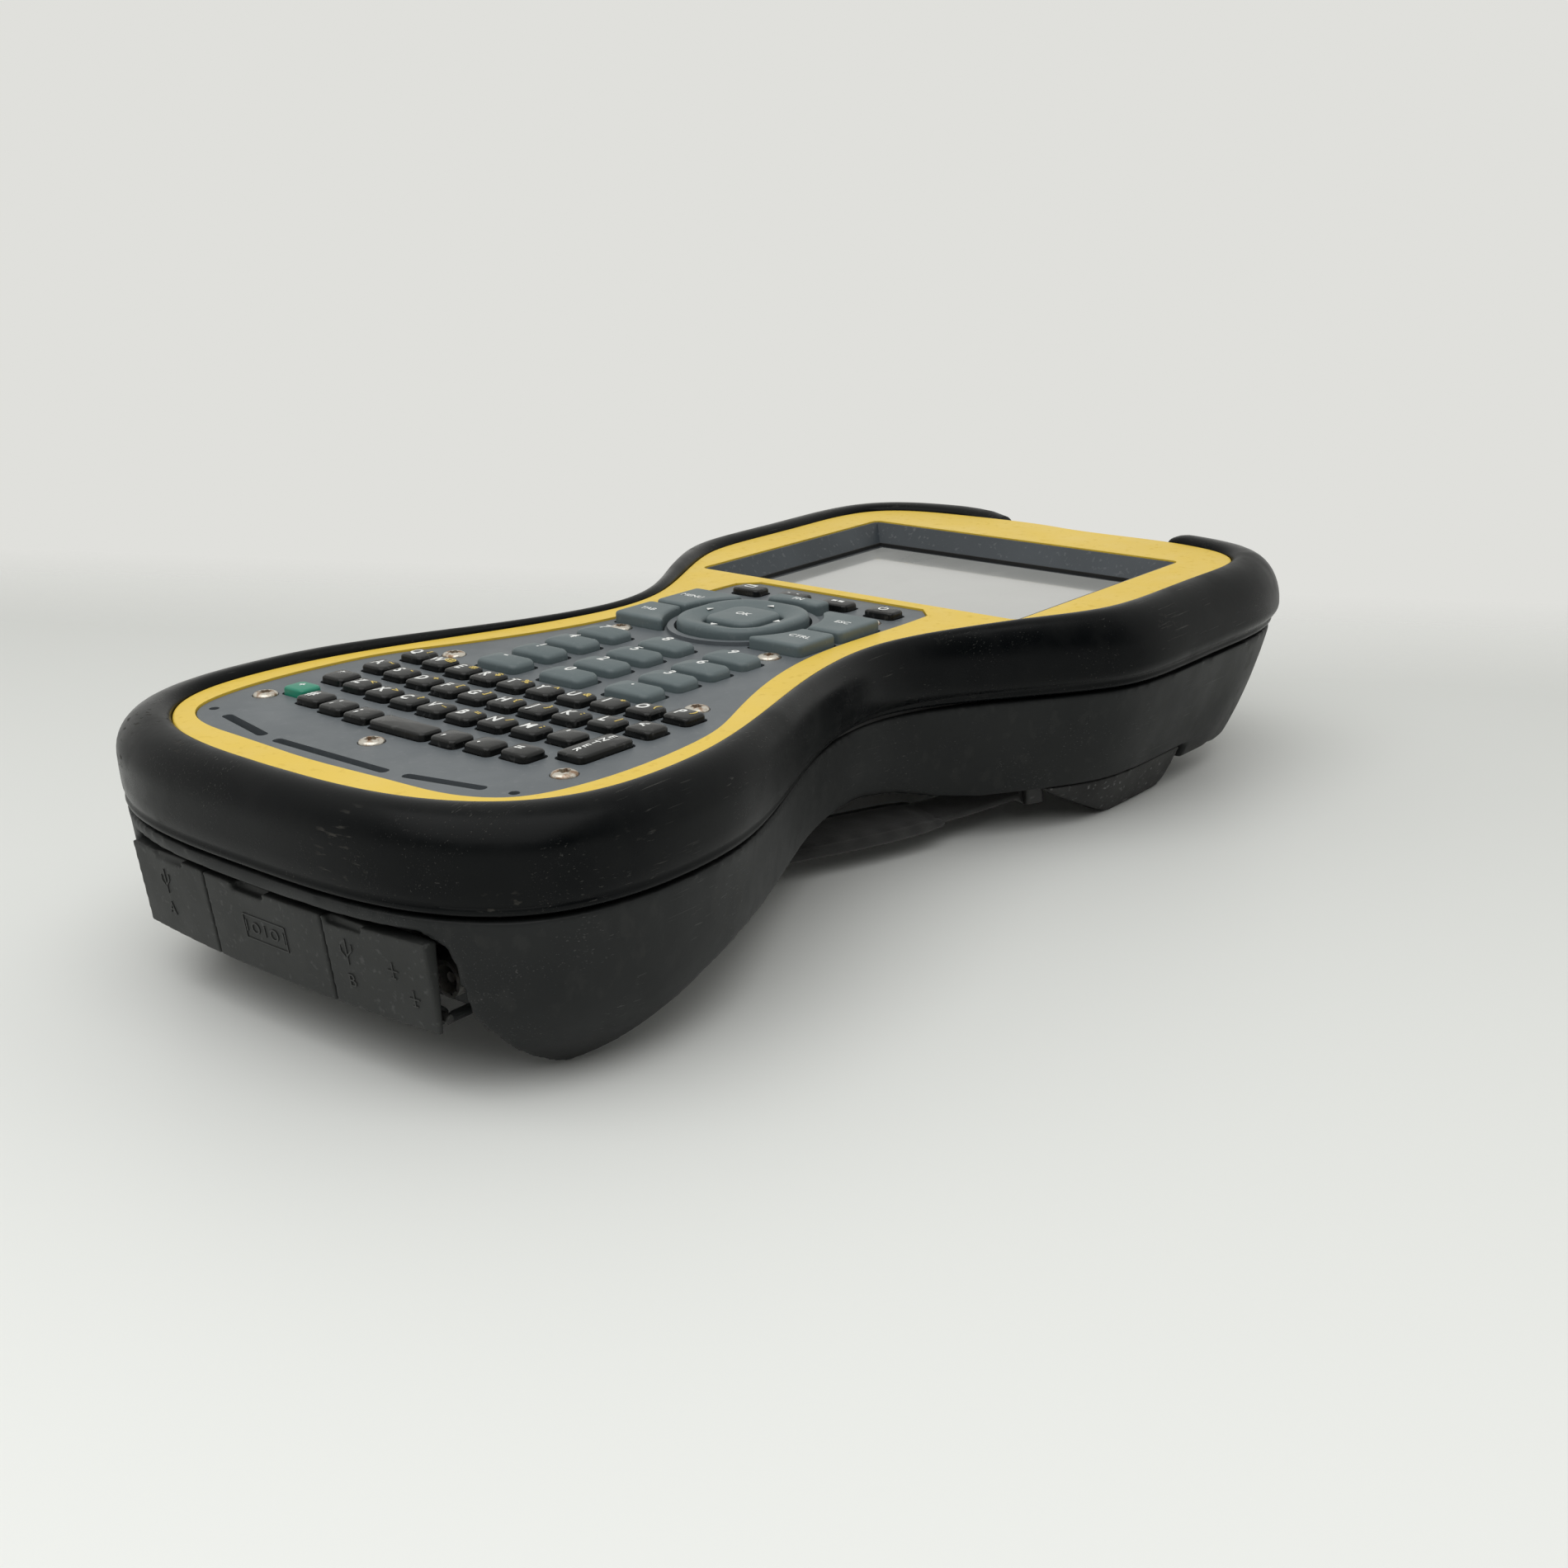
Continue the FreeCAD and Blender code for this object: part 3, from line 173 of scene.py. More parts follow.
def bumper_rubber():
    """Worn semi-gloss rubber: handled patches, pale scuffs at the near end and fine scratches."""
    tree = Tree("bumper_rubber", Specular_IOR_Level=0.11)
    handled = tree.span(tree.noise(34.0, 4.0), 0.42, 0.66)
    tone = tree.blend(handled, (0.0013, 0.0019, 0.0024), (0.0036, 0.0043, 0.0045))
    near = tree.span(tree.axis("Y"), -0.100, -0.132)
    torn = tree.times(tree.span(tree.noise(1.7, 8.0, (2.6, 1, 0.5), 20.0), 0.59, 0.66),
                      tree.span(tree.noise(19.0, 2.0, shift=5.3), 0.56, 0.66))
    torn = tree.times(torn, tree.plus(tree.times(near, 0.75), 0.25))
    tone = tree.blend(tree.times(torn, 0.36), tone, (0.115, 0.108, 0.095))
    lines = tree.plus(tree.streaks(12.0, 0.35), tree.streaks(-58.0, 0.3, 4.0))
    tone = tree.blend(tree.times(lines, 0.30), tone, (0.11, 0.108, 0.10))
    film = tree.times(tree.span(tree.noise(6.0, 7.0, shift=9.0), 0.45, 0.75), 0.30)
    tone = tree.blend(film, tone, (0.0085, 0.0092, 0.0092))
    roughness = tree.plus(tree.span(handled, 0.0, 1.0, 0.24, 0.42), tree.times(torn, 0.35))
    roughness = tree.plus(roughness, tree.times(film, 0.35))
    height = tree.plus(tree.times(tree.noise(0.6, 3.0), 0.35), tree.times(torn, -2.0))
    height = tree.plus(height, tree.times(lines, -1.2))
    return tree.finish(tone, roughness, height, 0.03)


def shell_plastic():
    """Charcoal satin plastic of the lower shell: fine texture, scratches, and rubbed corners."""
    tree = Tree("shell_plastic", Specular_IOR_Level=0.24)
    clouds = tree.span(tree.noise(28.0, 5.0), 0.35, 0.65)
    tone = tree.blend(clouds, (0.0085, 0.0097, 0.0100), (0.0125, 0.0138, 0.0138))
    lines = tree.plus(tree.streaks(35.0, 0.30, 1.0), tree.streaks(-20.0, 0.35, 6.0))
    far = tree.span(tree.axis("Y"), 0.095, 0.125)
    rubbed = tree.times(tree.span(tree.noise(3.4, 7.0, (1, 1, 1.6)), 0.56, 0.66),
                        tree.plus(tree.times(far, 0.7), 0.22))
    tone = tree.blend(tree.times(rubbed, 0.35), tone, (0.085, 0.084, 0.078))
    tone = tree.blend(tree.times(lines, 0.28), tone, (0.13, 0.13, 0.125))
    roughness = tree.span(tree.noise(12.0, 4.0, shift=3.0), 0.3, 0.7, 0.42, 0.56)
    roughness = tree.plus(roughness, tree.times(rubbed, 0.2))
    height = tree.plus(tree.times(tree.noise(0.45, 2.0), 0.6), tree.times(rubbed, -1.4))
    return tree.finish(tone, roughness, tree.plus(height, tree.times(lines, -1.0)), 0.02)


def yellow_paint():
    """Satin yellow housing with a faint grime towards its edges and a slight orange peel."""
    tree = Tree("yellow_shell", Specular_IOR_Level=0.45)
    clouds = tree.span(tree.noise(40.0, 3.0), 0.35, 0.65)
    tone = tree.blend(clouds, (0.76, 0.525, 0.050), (0.80, 0.560, 0.066))
    grime = tree.times(tree.span(tree.noise(2.2, 8.0, shift=4.0), 0.58, 0.72), 0.30)
    tone = tree.blend(grime, tone, (0.52, 0.34, 0.07))
    lines = tree.times(tree.streaks(28.0, 0.22, 2.0), 0.35)
    tone = tree.blend(lines, tone, (0.90, 0.70, 0.25))
    roughness = tree.plus(tree.span(tree.noise(8.0, 4.0), 0.3, 0.7, 0.36, 0.46), tree.times(grime, 0.6))
    return tree.finish(tone, roughness, tree.plus(tree.noise(1.1, 3.0), tree.times(lines, -1.0)), 0.012)


def worn_steel(name, bright, stain, share):
    """Plated steel that stains from its socket outwards."""
    tree = Tree(name, Metallic=1.0)
    stained = tree.times(tree.span(tree.noise(1.5, 6.0), 0.48, 0.62), share)
    tone = tree.blend(stained, bright, stain)
    roughness = tree.plus(tree.span(tree.noise(0.6, 4.0), 0.3, 0.7, 0.26, 0.42), tree.times(stained, 0.35))
    return tree.finish(tone, roughness, tree.noise(0.4, 4.0), 0.02)


def woven(name, dark, light, thread_mm, turn):
    """Woven nylon: warp and weft ribs crossing along the band."""
    tree = Tree(name, Sheen_Weight=0.25, Sheen_Roughness=0.5)
    place = tree.node("Mapping", Vector=tree.place, Rotation=(0, 0, math.radians(turn))).outputs[0]
    ribs = [tree.node("TexWave", {"bands_direction": way}, Vector=place, Scale=math.pi / thread_mm * 16,
                      Distortion=0.6, Detail=2.0).outputs["Fac"] for way in ("X", "Y")]
    cloth = tree.times(ribs[0], ribs[1])
    fluff = tree.noise(0.5, 6.0)
    tone = tree.blend(tree.span(tree.plus(cloth, fluff), 0.3, 1.2), dark, light)
    height = tree.plus(cloth, tree.times(fluff, 0.5))
    return tree.finish(tone, tree.span(fluff, 0.3, 0.7, 0.72, 0.92), height, 0.12)


def screen_print():
    """Touch glass: a black printed border round the unlit panel, whose grey is a painted reflection of the
    bright room.
    """
    tree = Tree("screen_glass", Roughness=0.12, Coat_Weight=1.0, Coat_Roughness=0.06)
    low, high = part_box("touch_glass")
    border = 0.0068
    inside = None
    for letter, start, end in (("X", low.x, high.x), ("Y", low.y, high.y)):
        place = tree.axis(letter)
        for edge, sign in ((start, 1.0), (end, -1.0)):
            clear = tree.span(place, edge + sign * border, edge + sign * (border + 0.0002))
            inside = clear if inside is None else tree.times(inside, clear)
    # Painted reflection: the panel's grey tone stands in for the bright room reflected in the glass.
    panel = tree.blend(tree.span(tree.noise(30.0, 2.0), 0.3, 0.7), (0.36, 0.365, 0.35), (0.40, 0.405, 0.39))
    smears = tree.span(tree.noise(11.0, 5.0, (1, 2.4, 1), 30.0), 0.48, 0.72)
    panel = tree.blend(tree.times(smears, 0.08), panel, (0.6, 0.6, 0.58))
    tone = tree.blend(inside, (0.010, 0.012, 0.014), panel)
    return tree.finish(tone, tree.span(smears, 0.0, 1.0, 0.14, 0.24), tree.noise(4.0, 2.0), 0.002)


def circuit_board():
    """Green solder mask over copper tracks."""
    tree = Tree("circuit_board", Coat_Weight=0.5, Coat_Roughness=0.2)
    cells = tree.node("TexVoronoi", {"feature": "DISTANCE_TO_EDGE"}, Vector=tree.place, Scale=420.0)
    tracks = tree.span(cells.outputs["Distance"], 0.06, 0.10, 1.0, 0.0)
    tone = tree.blend(tracks, (0.010, 0.075, 0.030), (0.030, 0.16, 0.060))
    return tree.finish(tone, tree.span(tree.noise(5.0), 0.3, 0.7, 0.3, 0.45), tracks, 0.03)


def paint(name, colour):
    """Printed ink of a key legend, rubbed thin here and there."""
    tree = Tree(name)
    thin = tree.times(tree.span(tree.noise(0.7, 5.0), 0.55, 0.75), 0.4)
    tone = tree.blend(thin, colour, [0.55 * c for c in colour])
    return tree.finish(tone, tree.span(tree.noise(2.0), 0.3, 0.7, 0.45, 0.6), tree.noise(0.3), 0.005)


# Name of each moulded finish: two tones, roughness span, grain and its depth in millimetres, dust.
MOULDED = {
    "seal_rubber": ((0.008, 0.008, 0.008), (0.014, 0.014, 0.013), (0.7, 0.85)),
    "cast_frame": ((0.40, 0.41, 0.41), (0.50, 0.50, 0.49), (0.35, 0.5), 0.8, 0.05),
    "grey_panel": ((0.098, 0.112, 0.124), (0.112, 0.127, 0.140), (0.40, 0.52), 0.35, 0.012, 0.16),
    "lcd_panel": ((0.34, 0.35, 0.33), (0.38, 0.39, 0.37), (0.2, 0.3)),
    "dark_surround": ((0.022, 0.030, 0.038), (0.032, 0.042, 0.052), (0.34, 0.46), 0.4, 0.01, 0.2),
    "key_mat_rubber": ((0.05, 0.05, 0.05), (0.07, 0.07, 0.07), (0.6, 0.8)),
    "battery_wrap": ((0.02, 0.02, 0.022), (0.03, 0.03, 0.033), (0.3, 0.45)),
    "latch_metal": ((0.03, 0.03, 0.03), (0.045, 0.045, 0.045), (0.35, 0.5), 0.4, 0.02, 0.3),
    "foot_rubber": ((0.010, 0.010, 0.010), (0.018, 0.018, 0.017), (0.6, 0.8), 0.6, 0.04, 0.4),
    "flap_rubber": ((0.020, 0.0215, 0.0205), (0.027, 0.0285, 0.0275), (0.50, 0.62), 0.4, 0.02, 0.12),
    "plain_steel": ((0.012, 0.012, 0.012), (0.020, 0.020, 0.019), (0.40, 0.55), 0.5, 0.02, 0.3),
    "black_plastic": ((0.010, 0.010, 0.010), (0.016, 0.016, 0.016), (0.45, 0.6)),
    "window_glass": ((0.004, 0.004, 0.006), (0.008, 0.008, 0.011), (0.05, 0.1)),
    "letter_key": ((0.0035, 0.0040, 0.0040), (0.0065, 0.0070, 0.0070), (0.24, 0.34), 0.6, 0.01, 0.12),
    "green_key": ((0.008, 0.19, 0.115), (0.012, 0.24, 0.150), (0.3, 0.4), 0.6, 0.01, 0.15),
    "blue_grey_key": ((0.092, 0.122, 0.130), (0.108, 0.140, 0.148), (0.40, 0.52), 0.5, 0.012, 0.12),
}
# What those finishes set on the shader itself.
SHADER_CONSTANTS = {
    "cast_frame": {"Metallic": 1.0},
    "flap_rubber": {"Specular_IOR_Level": 0.3},
    "window_glass": {"Coat_Weight": 1.0},
    "letter_key": {"Specular_IOR_Level": 0.35},
}
finishes = {name: moulded(name, *values, **SHADER_CONSTANTS.get(name, {}))
            for name, values in MOULDED.items()}
finishes.update({
    "yellow_shell": yellow_paint(),
    "bumper_rubber": bumper_rubber(),
    "charcoal_shell": shell_plastic(),
    "screen_glass": screen_print(),
    "circuit_board": circuit_board(),
    "socket_metal": worn_steel("socket_metal", (0.60, 0.59, 0.56), (0.30, 0.27, 0.22), 0.3),
    "screw_steel": worn_steel("screw_steel", (0.66, 0.62, 0.55), (0.30, 0.17, 0.09), 0.85),
    "strap_webbing": woven("strap_webbing", (0.006, 0.006, 0.006), (0.024, 0.024, 0.023), 1.1, 21.5),
})
white_ink = paint("white_ink", (0.80, 0.81, 0.80))
yellow_ink = paint("yellow_ink", (0.62, 0.47, 0.12))
grey_ink = moulded("embossed_rubber", (0.016, 0.017, 0.016), (0.022, 0.023, 0.022), (0.5, 0.6))

slots = {part["node"]: part["material_slot"] for part in frame["record"]["subparts"]}
for name, item in frame["nodes"].items():
    item.data.materials.clear()
    item.data.materials.append(finishes[slots[name]])

# ---------------------------------------------------------------- mesh helpers


class Form:
    """Points in millimetres and faces, gathered into one piece."""

    def __init__(self):
        self.points = []
        self.faces = []

    def add(self, points, faces):
        start = len(self.points)
        self.points += [tuple(point) for point in points]
        self.faces += [tuple(start + corner for corner in face) for face in faces]

    def loft(self, rings, closed=True, capped=True):
        """Skin closed rings of equal length, one after another."""
        count = len(rings[0])
        points = [point for ring in rings for point in ring]
        faces = []
        for level in range(len(rings) - 1 if not closed else len(rings)):
            upper = (level + 1) % len(rings)
            for step in range(count):
                after = (step + 1) % count
                faces.append((level * count + step, level * count + after,
                              upper * count + after, upper * count + step))
        if capped:
            faces.append(tuple(reversed(range(count))))
            faces.append(tuple((len(rings) - 1) * count + step for step in range(count)))
        self.add(points, faces)

    def piece(self, name, body, finish, replaces=(), slot=None, sharp=40.0):
        mesh = bpy.data.meshes.new(name)
        mesh.from_pydata([[c * MM for c in point] for point in self.points], [], self.faces)
        return dress(name, mesh, body, finish, replaces, slot, sharp)


def dress(name, mesh, body, finish, replaces=(), slot=None, sharp=40.0):
    """Make a mesh a piece that rides on a body."""
    work = bmesh.new()
    work.from_mesh(mesh)
    bmesh.ops.recalc_face_normals(work, faces=work.faces)
    work.to_mesh(mesh)
    work.free()
    mesh.polygons.foreach_set("use_smooth", [True] * len(mesh.polygons))
    mesh.set_sharp_from_angle(angle=math.radians(sharp))
    mesh.materials.clear()
    mesh.materials.append(finish)
    item = bpy.data.objects.new(name, mesh)
    scene.collection.objects.link(item)
    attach(item, body)
    if replaces:
        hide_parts(*replaces)
    return item


def body_of(node):
    """The CAD body that holds a node."""
    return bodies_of(frame["nodes"][node])[0]


def softened(node, voxel, passes, keep=1.0):
    """The node's own shape with its edges worn round: remeshed in small voxels and smoothed."""
    mesh = frame["nodes"][node].data.copy()
    work = bmesh.new()
    work.from_mesh(mesh)
    bmesh.ops.remove_doubles(work, verts=work.verts, dist=1e-6)
    work.to_mesh(mesh)
    work.free()
    source = bpy.data.objects.new("source", mesh)
    scene.collection.objects.link(source)
    remesh = source.modifiers.new("remesh", "REMESH")
    remesh.mode = "VOXEL"
    remesh.voxel_size = voxel * MM
    smooth = source.modifiers.new("smooth", "SMOOTH")
    smooth.factor = 0.5
    smooth.iterations = passes
    if keep < 1.0:
        fewer = source.modifiers.new("fewer", "DECIMATE")
        fewer.ratio = keep
    shape = bpy.data.meshes.new_from_object(source.evaluated_get(bpy.context.evaluated_depsgraph_get()))
    bpy.data.objects.remove(source)
    slot = slots[node]
    dress(node + "_form", shape, body_of(node), finishes[slot], (node,), slot, 60.0)


def rectangle(width, length, corner, steps=5):
    """Rounded rectangle about the origin, anticlockwise."""
    ring = []
    for turn, (x, y) in enumerate(((1, 1), (-1, 1), (-1, -1), (1, -1))):
        for step in range(steps + 1):
            angle = math.radians(90 * (turn + step / steps))
            ring.append((x * (width / 2 - corner) + corner * math.cos(angle),
                         y * (length / 2 - corner) + corner * math.sin(angle)))
    return ring


def glyphs(text, height, bold=0.0):
    """Printed characters as thin solids about the origin: points (x, y, thickness) and faces."""
    curve = bpy.data.curves.new("glyphs", "FONT")
    curve.body = text
    curve.size = height * 1.38
    curve.align_x = "CENTER"
    curve.align_y = "CENTER"
    curve.offset = bold
    curve.extrude = 0.03
    curve.resolution_u = 3
    item = bpy.data.objects.new("glyphs", curve)
    mesh = bpy.data.meshes.new_from_object(item)
    points = [tuple(vertex.co) for vertex in mesh.vertices]
    faces = [tuple(face.vertices) for face in mesh.polygons]
    bpy.data.objects.remove(item)
    bpy.data.curves.remove(curve)
    bpy.data.meshes.remove(mesh)
    return points, faces


def outline_solid(corners, thickness=0.03):
    """A flat polygon as a thin solid: points (x, y, thickness) and faces."""
    count = len(corners)
    points = [(x, y, -thickness) for x, y in corners] + [(x, y, thickness) for x, y in corners]
    faces = [tuple(reversed(range(count))), tuple(range(count, 2 * count))]
    faces += [(step, (step + 1) % count, count + (step + 1) % count, count + step) for step in range(count)]
    return points, faces


def on_surface(form, marks, x, y, surface, turn=0.0):
    """Lay printed marks on a surface z(x, y), turned and moved to their place."""
    points, faces = marks
    cos, sin = math.cos(math.radians(turn)), math.sin(math.radians(turn))
    laid = []
    for u, v, w in points:
        px, py = x + u * cos - v * sin, y + u * sin + v * cos
        laid.append((px, py, surface(px, py) + w))
    form.add(laid, faces)


# ---------------------------------------------------------------- outlines of the case

FACE, CREST = 50.0, 52.0
BUMPER_FOOT = 34.7
# Level where the bumper is widest, at the near end and at the display end.
WIDEST_NEAR, WIDEST_FAR = 44.3, 39.8
FAR_SIDE_NEAR, FAR_SIDE_FAR = 60.0, 88.0
WAIST_MIDDLE, NEAR_SIDE = -6.0, -93.0
# Half width at the display end, at the waist and at the near end; reach of the far and the near end.
BEZEL = (59.6, 34.9, 56.4, 125.6, 131.0)
BUMPER = (70.5, 41.0, 65.5, 139.0, 139.6)
SPLIT = (68.3, 35.5, 64.6, 138.2, 139.2)


def smooth_step(t):
    return t * t * (3.0 - 2.0 * t)


def rounded_end(half, reach, power, steps=6):
    points = []
    for step in range(1, steps):
        angle = math.pi / 2 * step / steps
        points.append((half * math.cos(angle) ** (2.0 / power), reach * math.sin(angle) ** (2.0 / power)))
    return points + [(0.0, reach)]


def hourglass(sizes, far_power, near_power):
    """Right half of an outline, from the far tip to the near tip."""
    far_half, waist_half, near_half, far_end, near_end = sizes
    points = [(x, FAR_SIDE_FAR + y)
              for x, y in reversed(rounded_end(far_half, far_end - FAR_SIDE_FAR, far_power))]
    points += [(far_half, FAR_SIDE_FAR), (far_half, FAR_SIDE_NEAR + 8.0)]
    for step in range(5, -1, -1):
        t = step / 6.0
        points.append((waist_half + (far_half - waist_half) * smooth_step(t),
                       WAIST_MIDDLE + (FAR_SIDE_NEAR - WAIST_MIDDLE) * t))
    for step in range(1, 7):
        t = step / 6.0
        points.append((waist_half + (near_half - waist_half) * smooth_step(t),
                       WAIST_MIDDLE + (NEAR_SIDE - WAIST_MIDDLE) * t))
    return points + [(x, NEAR_SIDE - y) for x, y in rounded_end(near_half, near_end + NEAR_SIDE, near_power)]


def closed_curve(points, per_run):
    """Smooth closed curve through points, sampled per_run times between each two."""
    knots = np.array(points, float)
    count = len(knots)
    runs = np.linalg.norm(np.roll(knots, -1, 0) - knots, axis=1)
    system = np.zeros((count, count))
    slopes = (np.roll(knots, -1, 0) - knots) / runs[:, None]
    for i in range(count):
        system[i, i - 1] += runs[i - 1]
        system[i, i] += 2 * (runs[i - 1] + runs[i])
        system[i, (i + 1) % count] += runs[i]
    bends = np.linalg.solve(system, 6 * (slopes - np.roll(slopes, 1, 0)))
    samples = []
    for i in range(count):
        after = (i + 1) % count
        for step in range(per_run):
            b = step / per_run
            a = 1.0 - b
            samples.append(a * knots[i] + b * knots[after]
                           + ((a ** 3 - a) * bends[i] + (b ** 3 - b) * bends[after]) * runs[i] ** 2 / 6)
    return np.array(samples)


PER_RUN = 8


def outline(sizes, far_power, near_power):
    half = hourglass(sizes, far_power, near_power)
    return closed_curve(half + [(-x, y) for x, y in reversed(half[1:-1])], PER_RUN)


def bezel_line(grow=0.0):
    return outline([s + grow for s in BEZEL], 4.5, 2.7)


def case_line(share, inset=0.0):
    """The split line at share 0, the widest line of the bumper at share 1."""
    return outline([low + (high - low) * share - inset for low, high in zip(SPLIT, BUMPER)], 3.9, 3.0)


# ---------------------------------------------------------------- bumper

# Share of the ring's width from the bezel to its crest; the crest is lower where the ring is narrower.
CREST_SHARE = 0.25
BROAD_RING, CREST_FALL = 8.6, 0.3
# Gap between the horns, the length over which each rounds off, where they start, and the level they sink to.
HORN_LEFT, HORN_RIGHT = -20.0, 32.0
HORN_ROUND_LEFT, HORN_ROUND_RIGHT = 15.0, 4.5
HORN_START = 100.0
HORN_PIVOT = FACE - 5.0
# Height and width that are left at a horn's tip.
TIP_HEIGHT, TIP_WIDTH = 0.72, 0.90
# Lower wall of the bumper: height above its foot and how far it is drawn in, with a bead at the foot.
BEAD = ((0.0, 0.55), (0.3, 0.08), (0.75, -0.05), (1.25, 0.05), (1.6, 0.32), (2.3, 0.22), (3.3, 0.0),
        (5.0, 0.0), (6.8, 0.0), (8.4, 0.0))
BEAD_HEIGHT = 2.3


def make_bumper():
    """Rubber ring: beaded foot, bulged wall, rolled crest higher than the face, two rounded horns."""
    wide, edge = case_line(1.0), bezel_line(0.15)
    width = np.linalg.norm(wide - edge, axis=1)
    crest = edge + (wide - edge) * CREST_SHARE
    crest_level = CREST - np.maximum(0.0, BROAD_RING - width) * CREST_FALL
    widest = np.interp(wide[:, 1], (-60.0, 50.0), (WIDEST_NEAR, WIDEST_FAR))
    rows = []
    for height, inset in BEAD:
        share = 1.0 - (1.0 - height / (WIDEST_NEAR - BUMPER_FOOT)) ** 2.2
        stretch = (widest - BUMPER_FOOT - BEAD_HEIGHT) / (WIDEST_NEAR - BUMPER_FOOT - BEAD_HEIGHT)
        above = max(height - BEAD_HEIGHT, 0.0)
        rows.append((case_line(share, inset), BUMPER_FOOT + min(height, BEAD_HEIGHT) + above * stretch))
    for step in range(0, 13):
        angle = math.radians(90 * step / 12)
        rows.append((crest + (wide - crest) * math.cos(angle),
                     widest + (crest_level - widest) * math.sin(angle)))
    low = FACE + 0.15
    for step in range(1, 7):
        angle = math.radians(90 * step / 6)
        rows.append((crest + (edge - crest) * math.sin(angle), low + (crest_level - low) * math.cos(angle)))
    rows.append((edge, np.full(len(wide), FACE - 2.5)))
    rows.append((edge, np.full(len(wide), BUMPER_FOOT)))
    ring = [i for i in range(len(wide))
            if not (HORN_LEFT < edge[i][0] < HORN_RIGHT and edge[i][1] > HORN_START)]
    start = next(n for n, i in enumerate(ring) if edge[i][0] >= HORN_RIGHT and ring[n - 1] != i - 1)
    ring = ring[start:] + ring[:start]
    sections = []
    for i in ring:
        to_left, to_right = HORN_LEFT - edge[i][0], edge[i][0] - HORN_RIGHT
        fullness = 1.0
        if edge[i][1] > HORN_START:
            reach, span = (to_left, HORN_ROUND_LEFT) if to_left >= 0 else (to_right, HORN_ROUND_RIGHT)
            fullness = math.sqrt(1.0 - (1.0 - min(max(reach, 0.0) / span, 1.0)) ** 2)
        section = []
        for place, level in rows:
            z = level[i]
            if z > HORN_PIVOT:
                z = HORN_PIVOT + (z - HORN_PIVOT) * (TIP_HEIGHT + (1.0 - TIP_HEIGHT) * fullness)
            x, y = edge[i] + (place[i] - edge[i]) * (TIP_WIDTH + (1.0 - TIP_WIDTH) * fullness)
            section.append((x, y, z))
        sections.append(section)
    form = Form()
    form.loft(sections, closed=False)
    form.piece("bumper_ring", "case", finishes["bumper_rubber"], ("front_bumper",), "bumper_rubber", 50.0)


make_bumper()
softened("rear_housing", 0.75, 7, keep=0.5)
for side in ("left", "centre", "right"):
    softened(f"port_flap_{side}", 0.32, 5)
softened("rear_feet", 0.6, 5)
softened("battery_door", 0.5, 3, keep=0.5)

# ---------------------------------------------------------------- keys


def arched(x, y, width, length, top, arch, fall):
    """Top surface of a key: highest along its middle, lower at its sides."""
    def surface(px, py):
        return top - arch * ((px - x) * 2 / width) ** 2 - fall * ((py - y) * 2 / length) ** 2
    return surface


KEY_FOOT, KEY_FLANGE = 46.9, 47.8


def key_cap(form, x, y, width, length, surface, corner, edge):
    """One key: flange behind the panel, slightly drawn wall, rounded rim and an arched top."""
    draft = 0.12
    wide, narrow = rectangle(width + 1, length + 1, corner + 0.5), rectangle(width, length, corner)
    rings = [(wide, KEY_FOOT), (wide, KEY_FLANGE), (narrow, KEY_FLANGE), (narrow, KEY_FLANGE + 1.4)]
    rings = [[(x + u, y + v, level) for u, v in ring] for ring, level in rings]
    for step in range(6):
        angle = math.radians(90 * step / 5)
        inset = draft + edge * (1 - math.cos(angle))
        ring = rectangle(width - 2 * inset, length - 2 * inset, max(corner - inset, 0.2))
        rings.append([(x + u, y + v, surface(x + u, y + v) - edge * (1 - math.sin(angle))) for u, v in ring])
    rim = draft + edge
    inner = rectangle(width - 2 * rim, length - 2 * rim, max(corner - draft - edge, 0.2))
    for share in (0.8, 0.55, 0.28, 0.04):
        ring = [(x + u * share, y + v * share) for u, v in inner]
        rings.append([(px, py, surface(px, py)) for px, py in ring])
    form.loft(rings, closed=False)


def centre_of(node):
    low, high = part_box(node)
    return (low.x + high.x) / 2 / MM, (low.y + high.y) / 2 / MM


COLUMN_PITCH = 8.37
SMILE_RADIUS = 190.0
LETTER_SIZE = (6.9, 6.0)
DIGIT_KEY, APP_KEY = (12.4, 7.0), (8.2, 5.2)
SPACE_KEY, ENTER_KEY, OPTION_KEY = (15.8, 5.6), (6.9, 14.0), (6.6, 5.4)
LETTER_TOP, DIGIT_TOP, PAD_TOP = 51.8, 52.5, 53.0
LETTER_ROWS = {
    "letter_keys_upper": ((-69.7, 0, "QWERTYUIOP"), (-79.9, 0, "ASDFGHJKL<")),
    "letter_keys_lower": ((-90.2, 0, "*ZXCVBNM'"), (-101.4, 1, "#/;"), (-101.4, 6, ",.=")),
}
SHIFTED = {"Q": "!", "W": "@", "E": "#", "R": "$", "T": "%", "Y": "^", "U": "&", "I": "*", "O": "(", "P": ")",
           "A": "~", "S": "-", "D": "+", "F": "[", "G": "]", "H": "{", "J": "}", "K": ":", "L": "|", "Z": "<",
           "X": ">", "C": "?", "V": "_", "B": "=", "N": "/", "M": ";"}


def flat(level):
    return lambda x, y: level


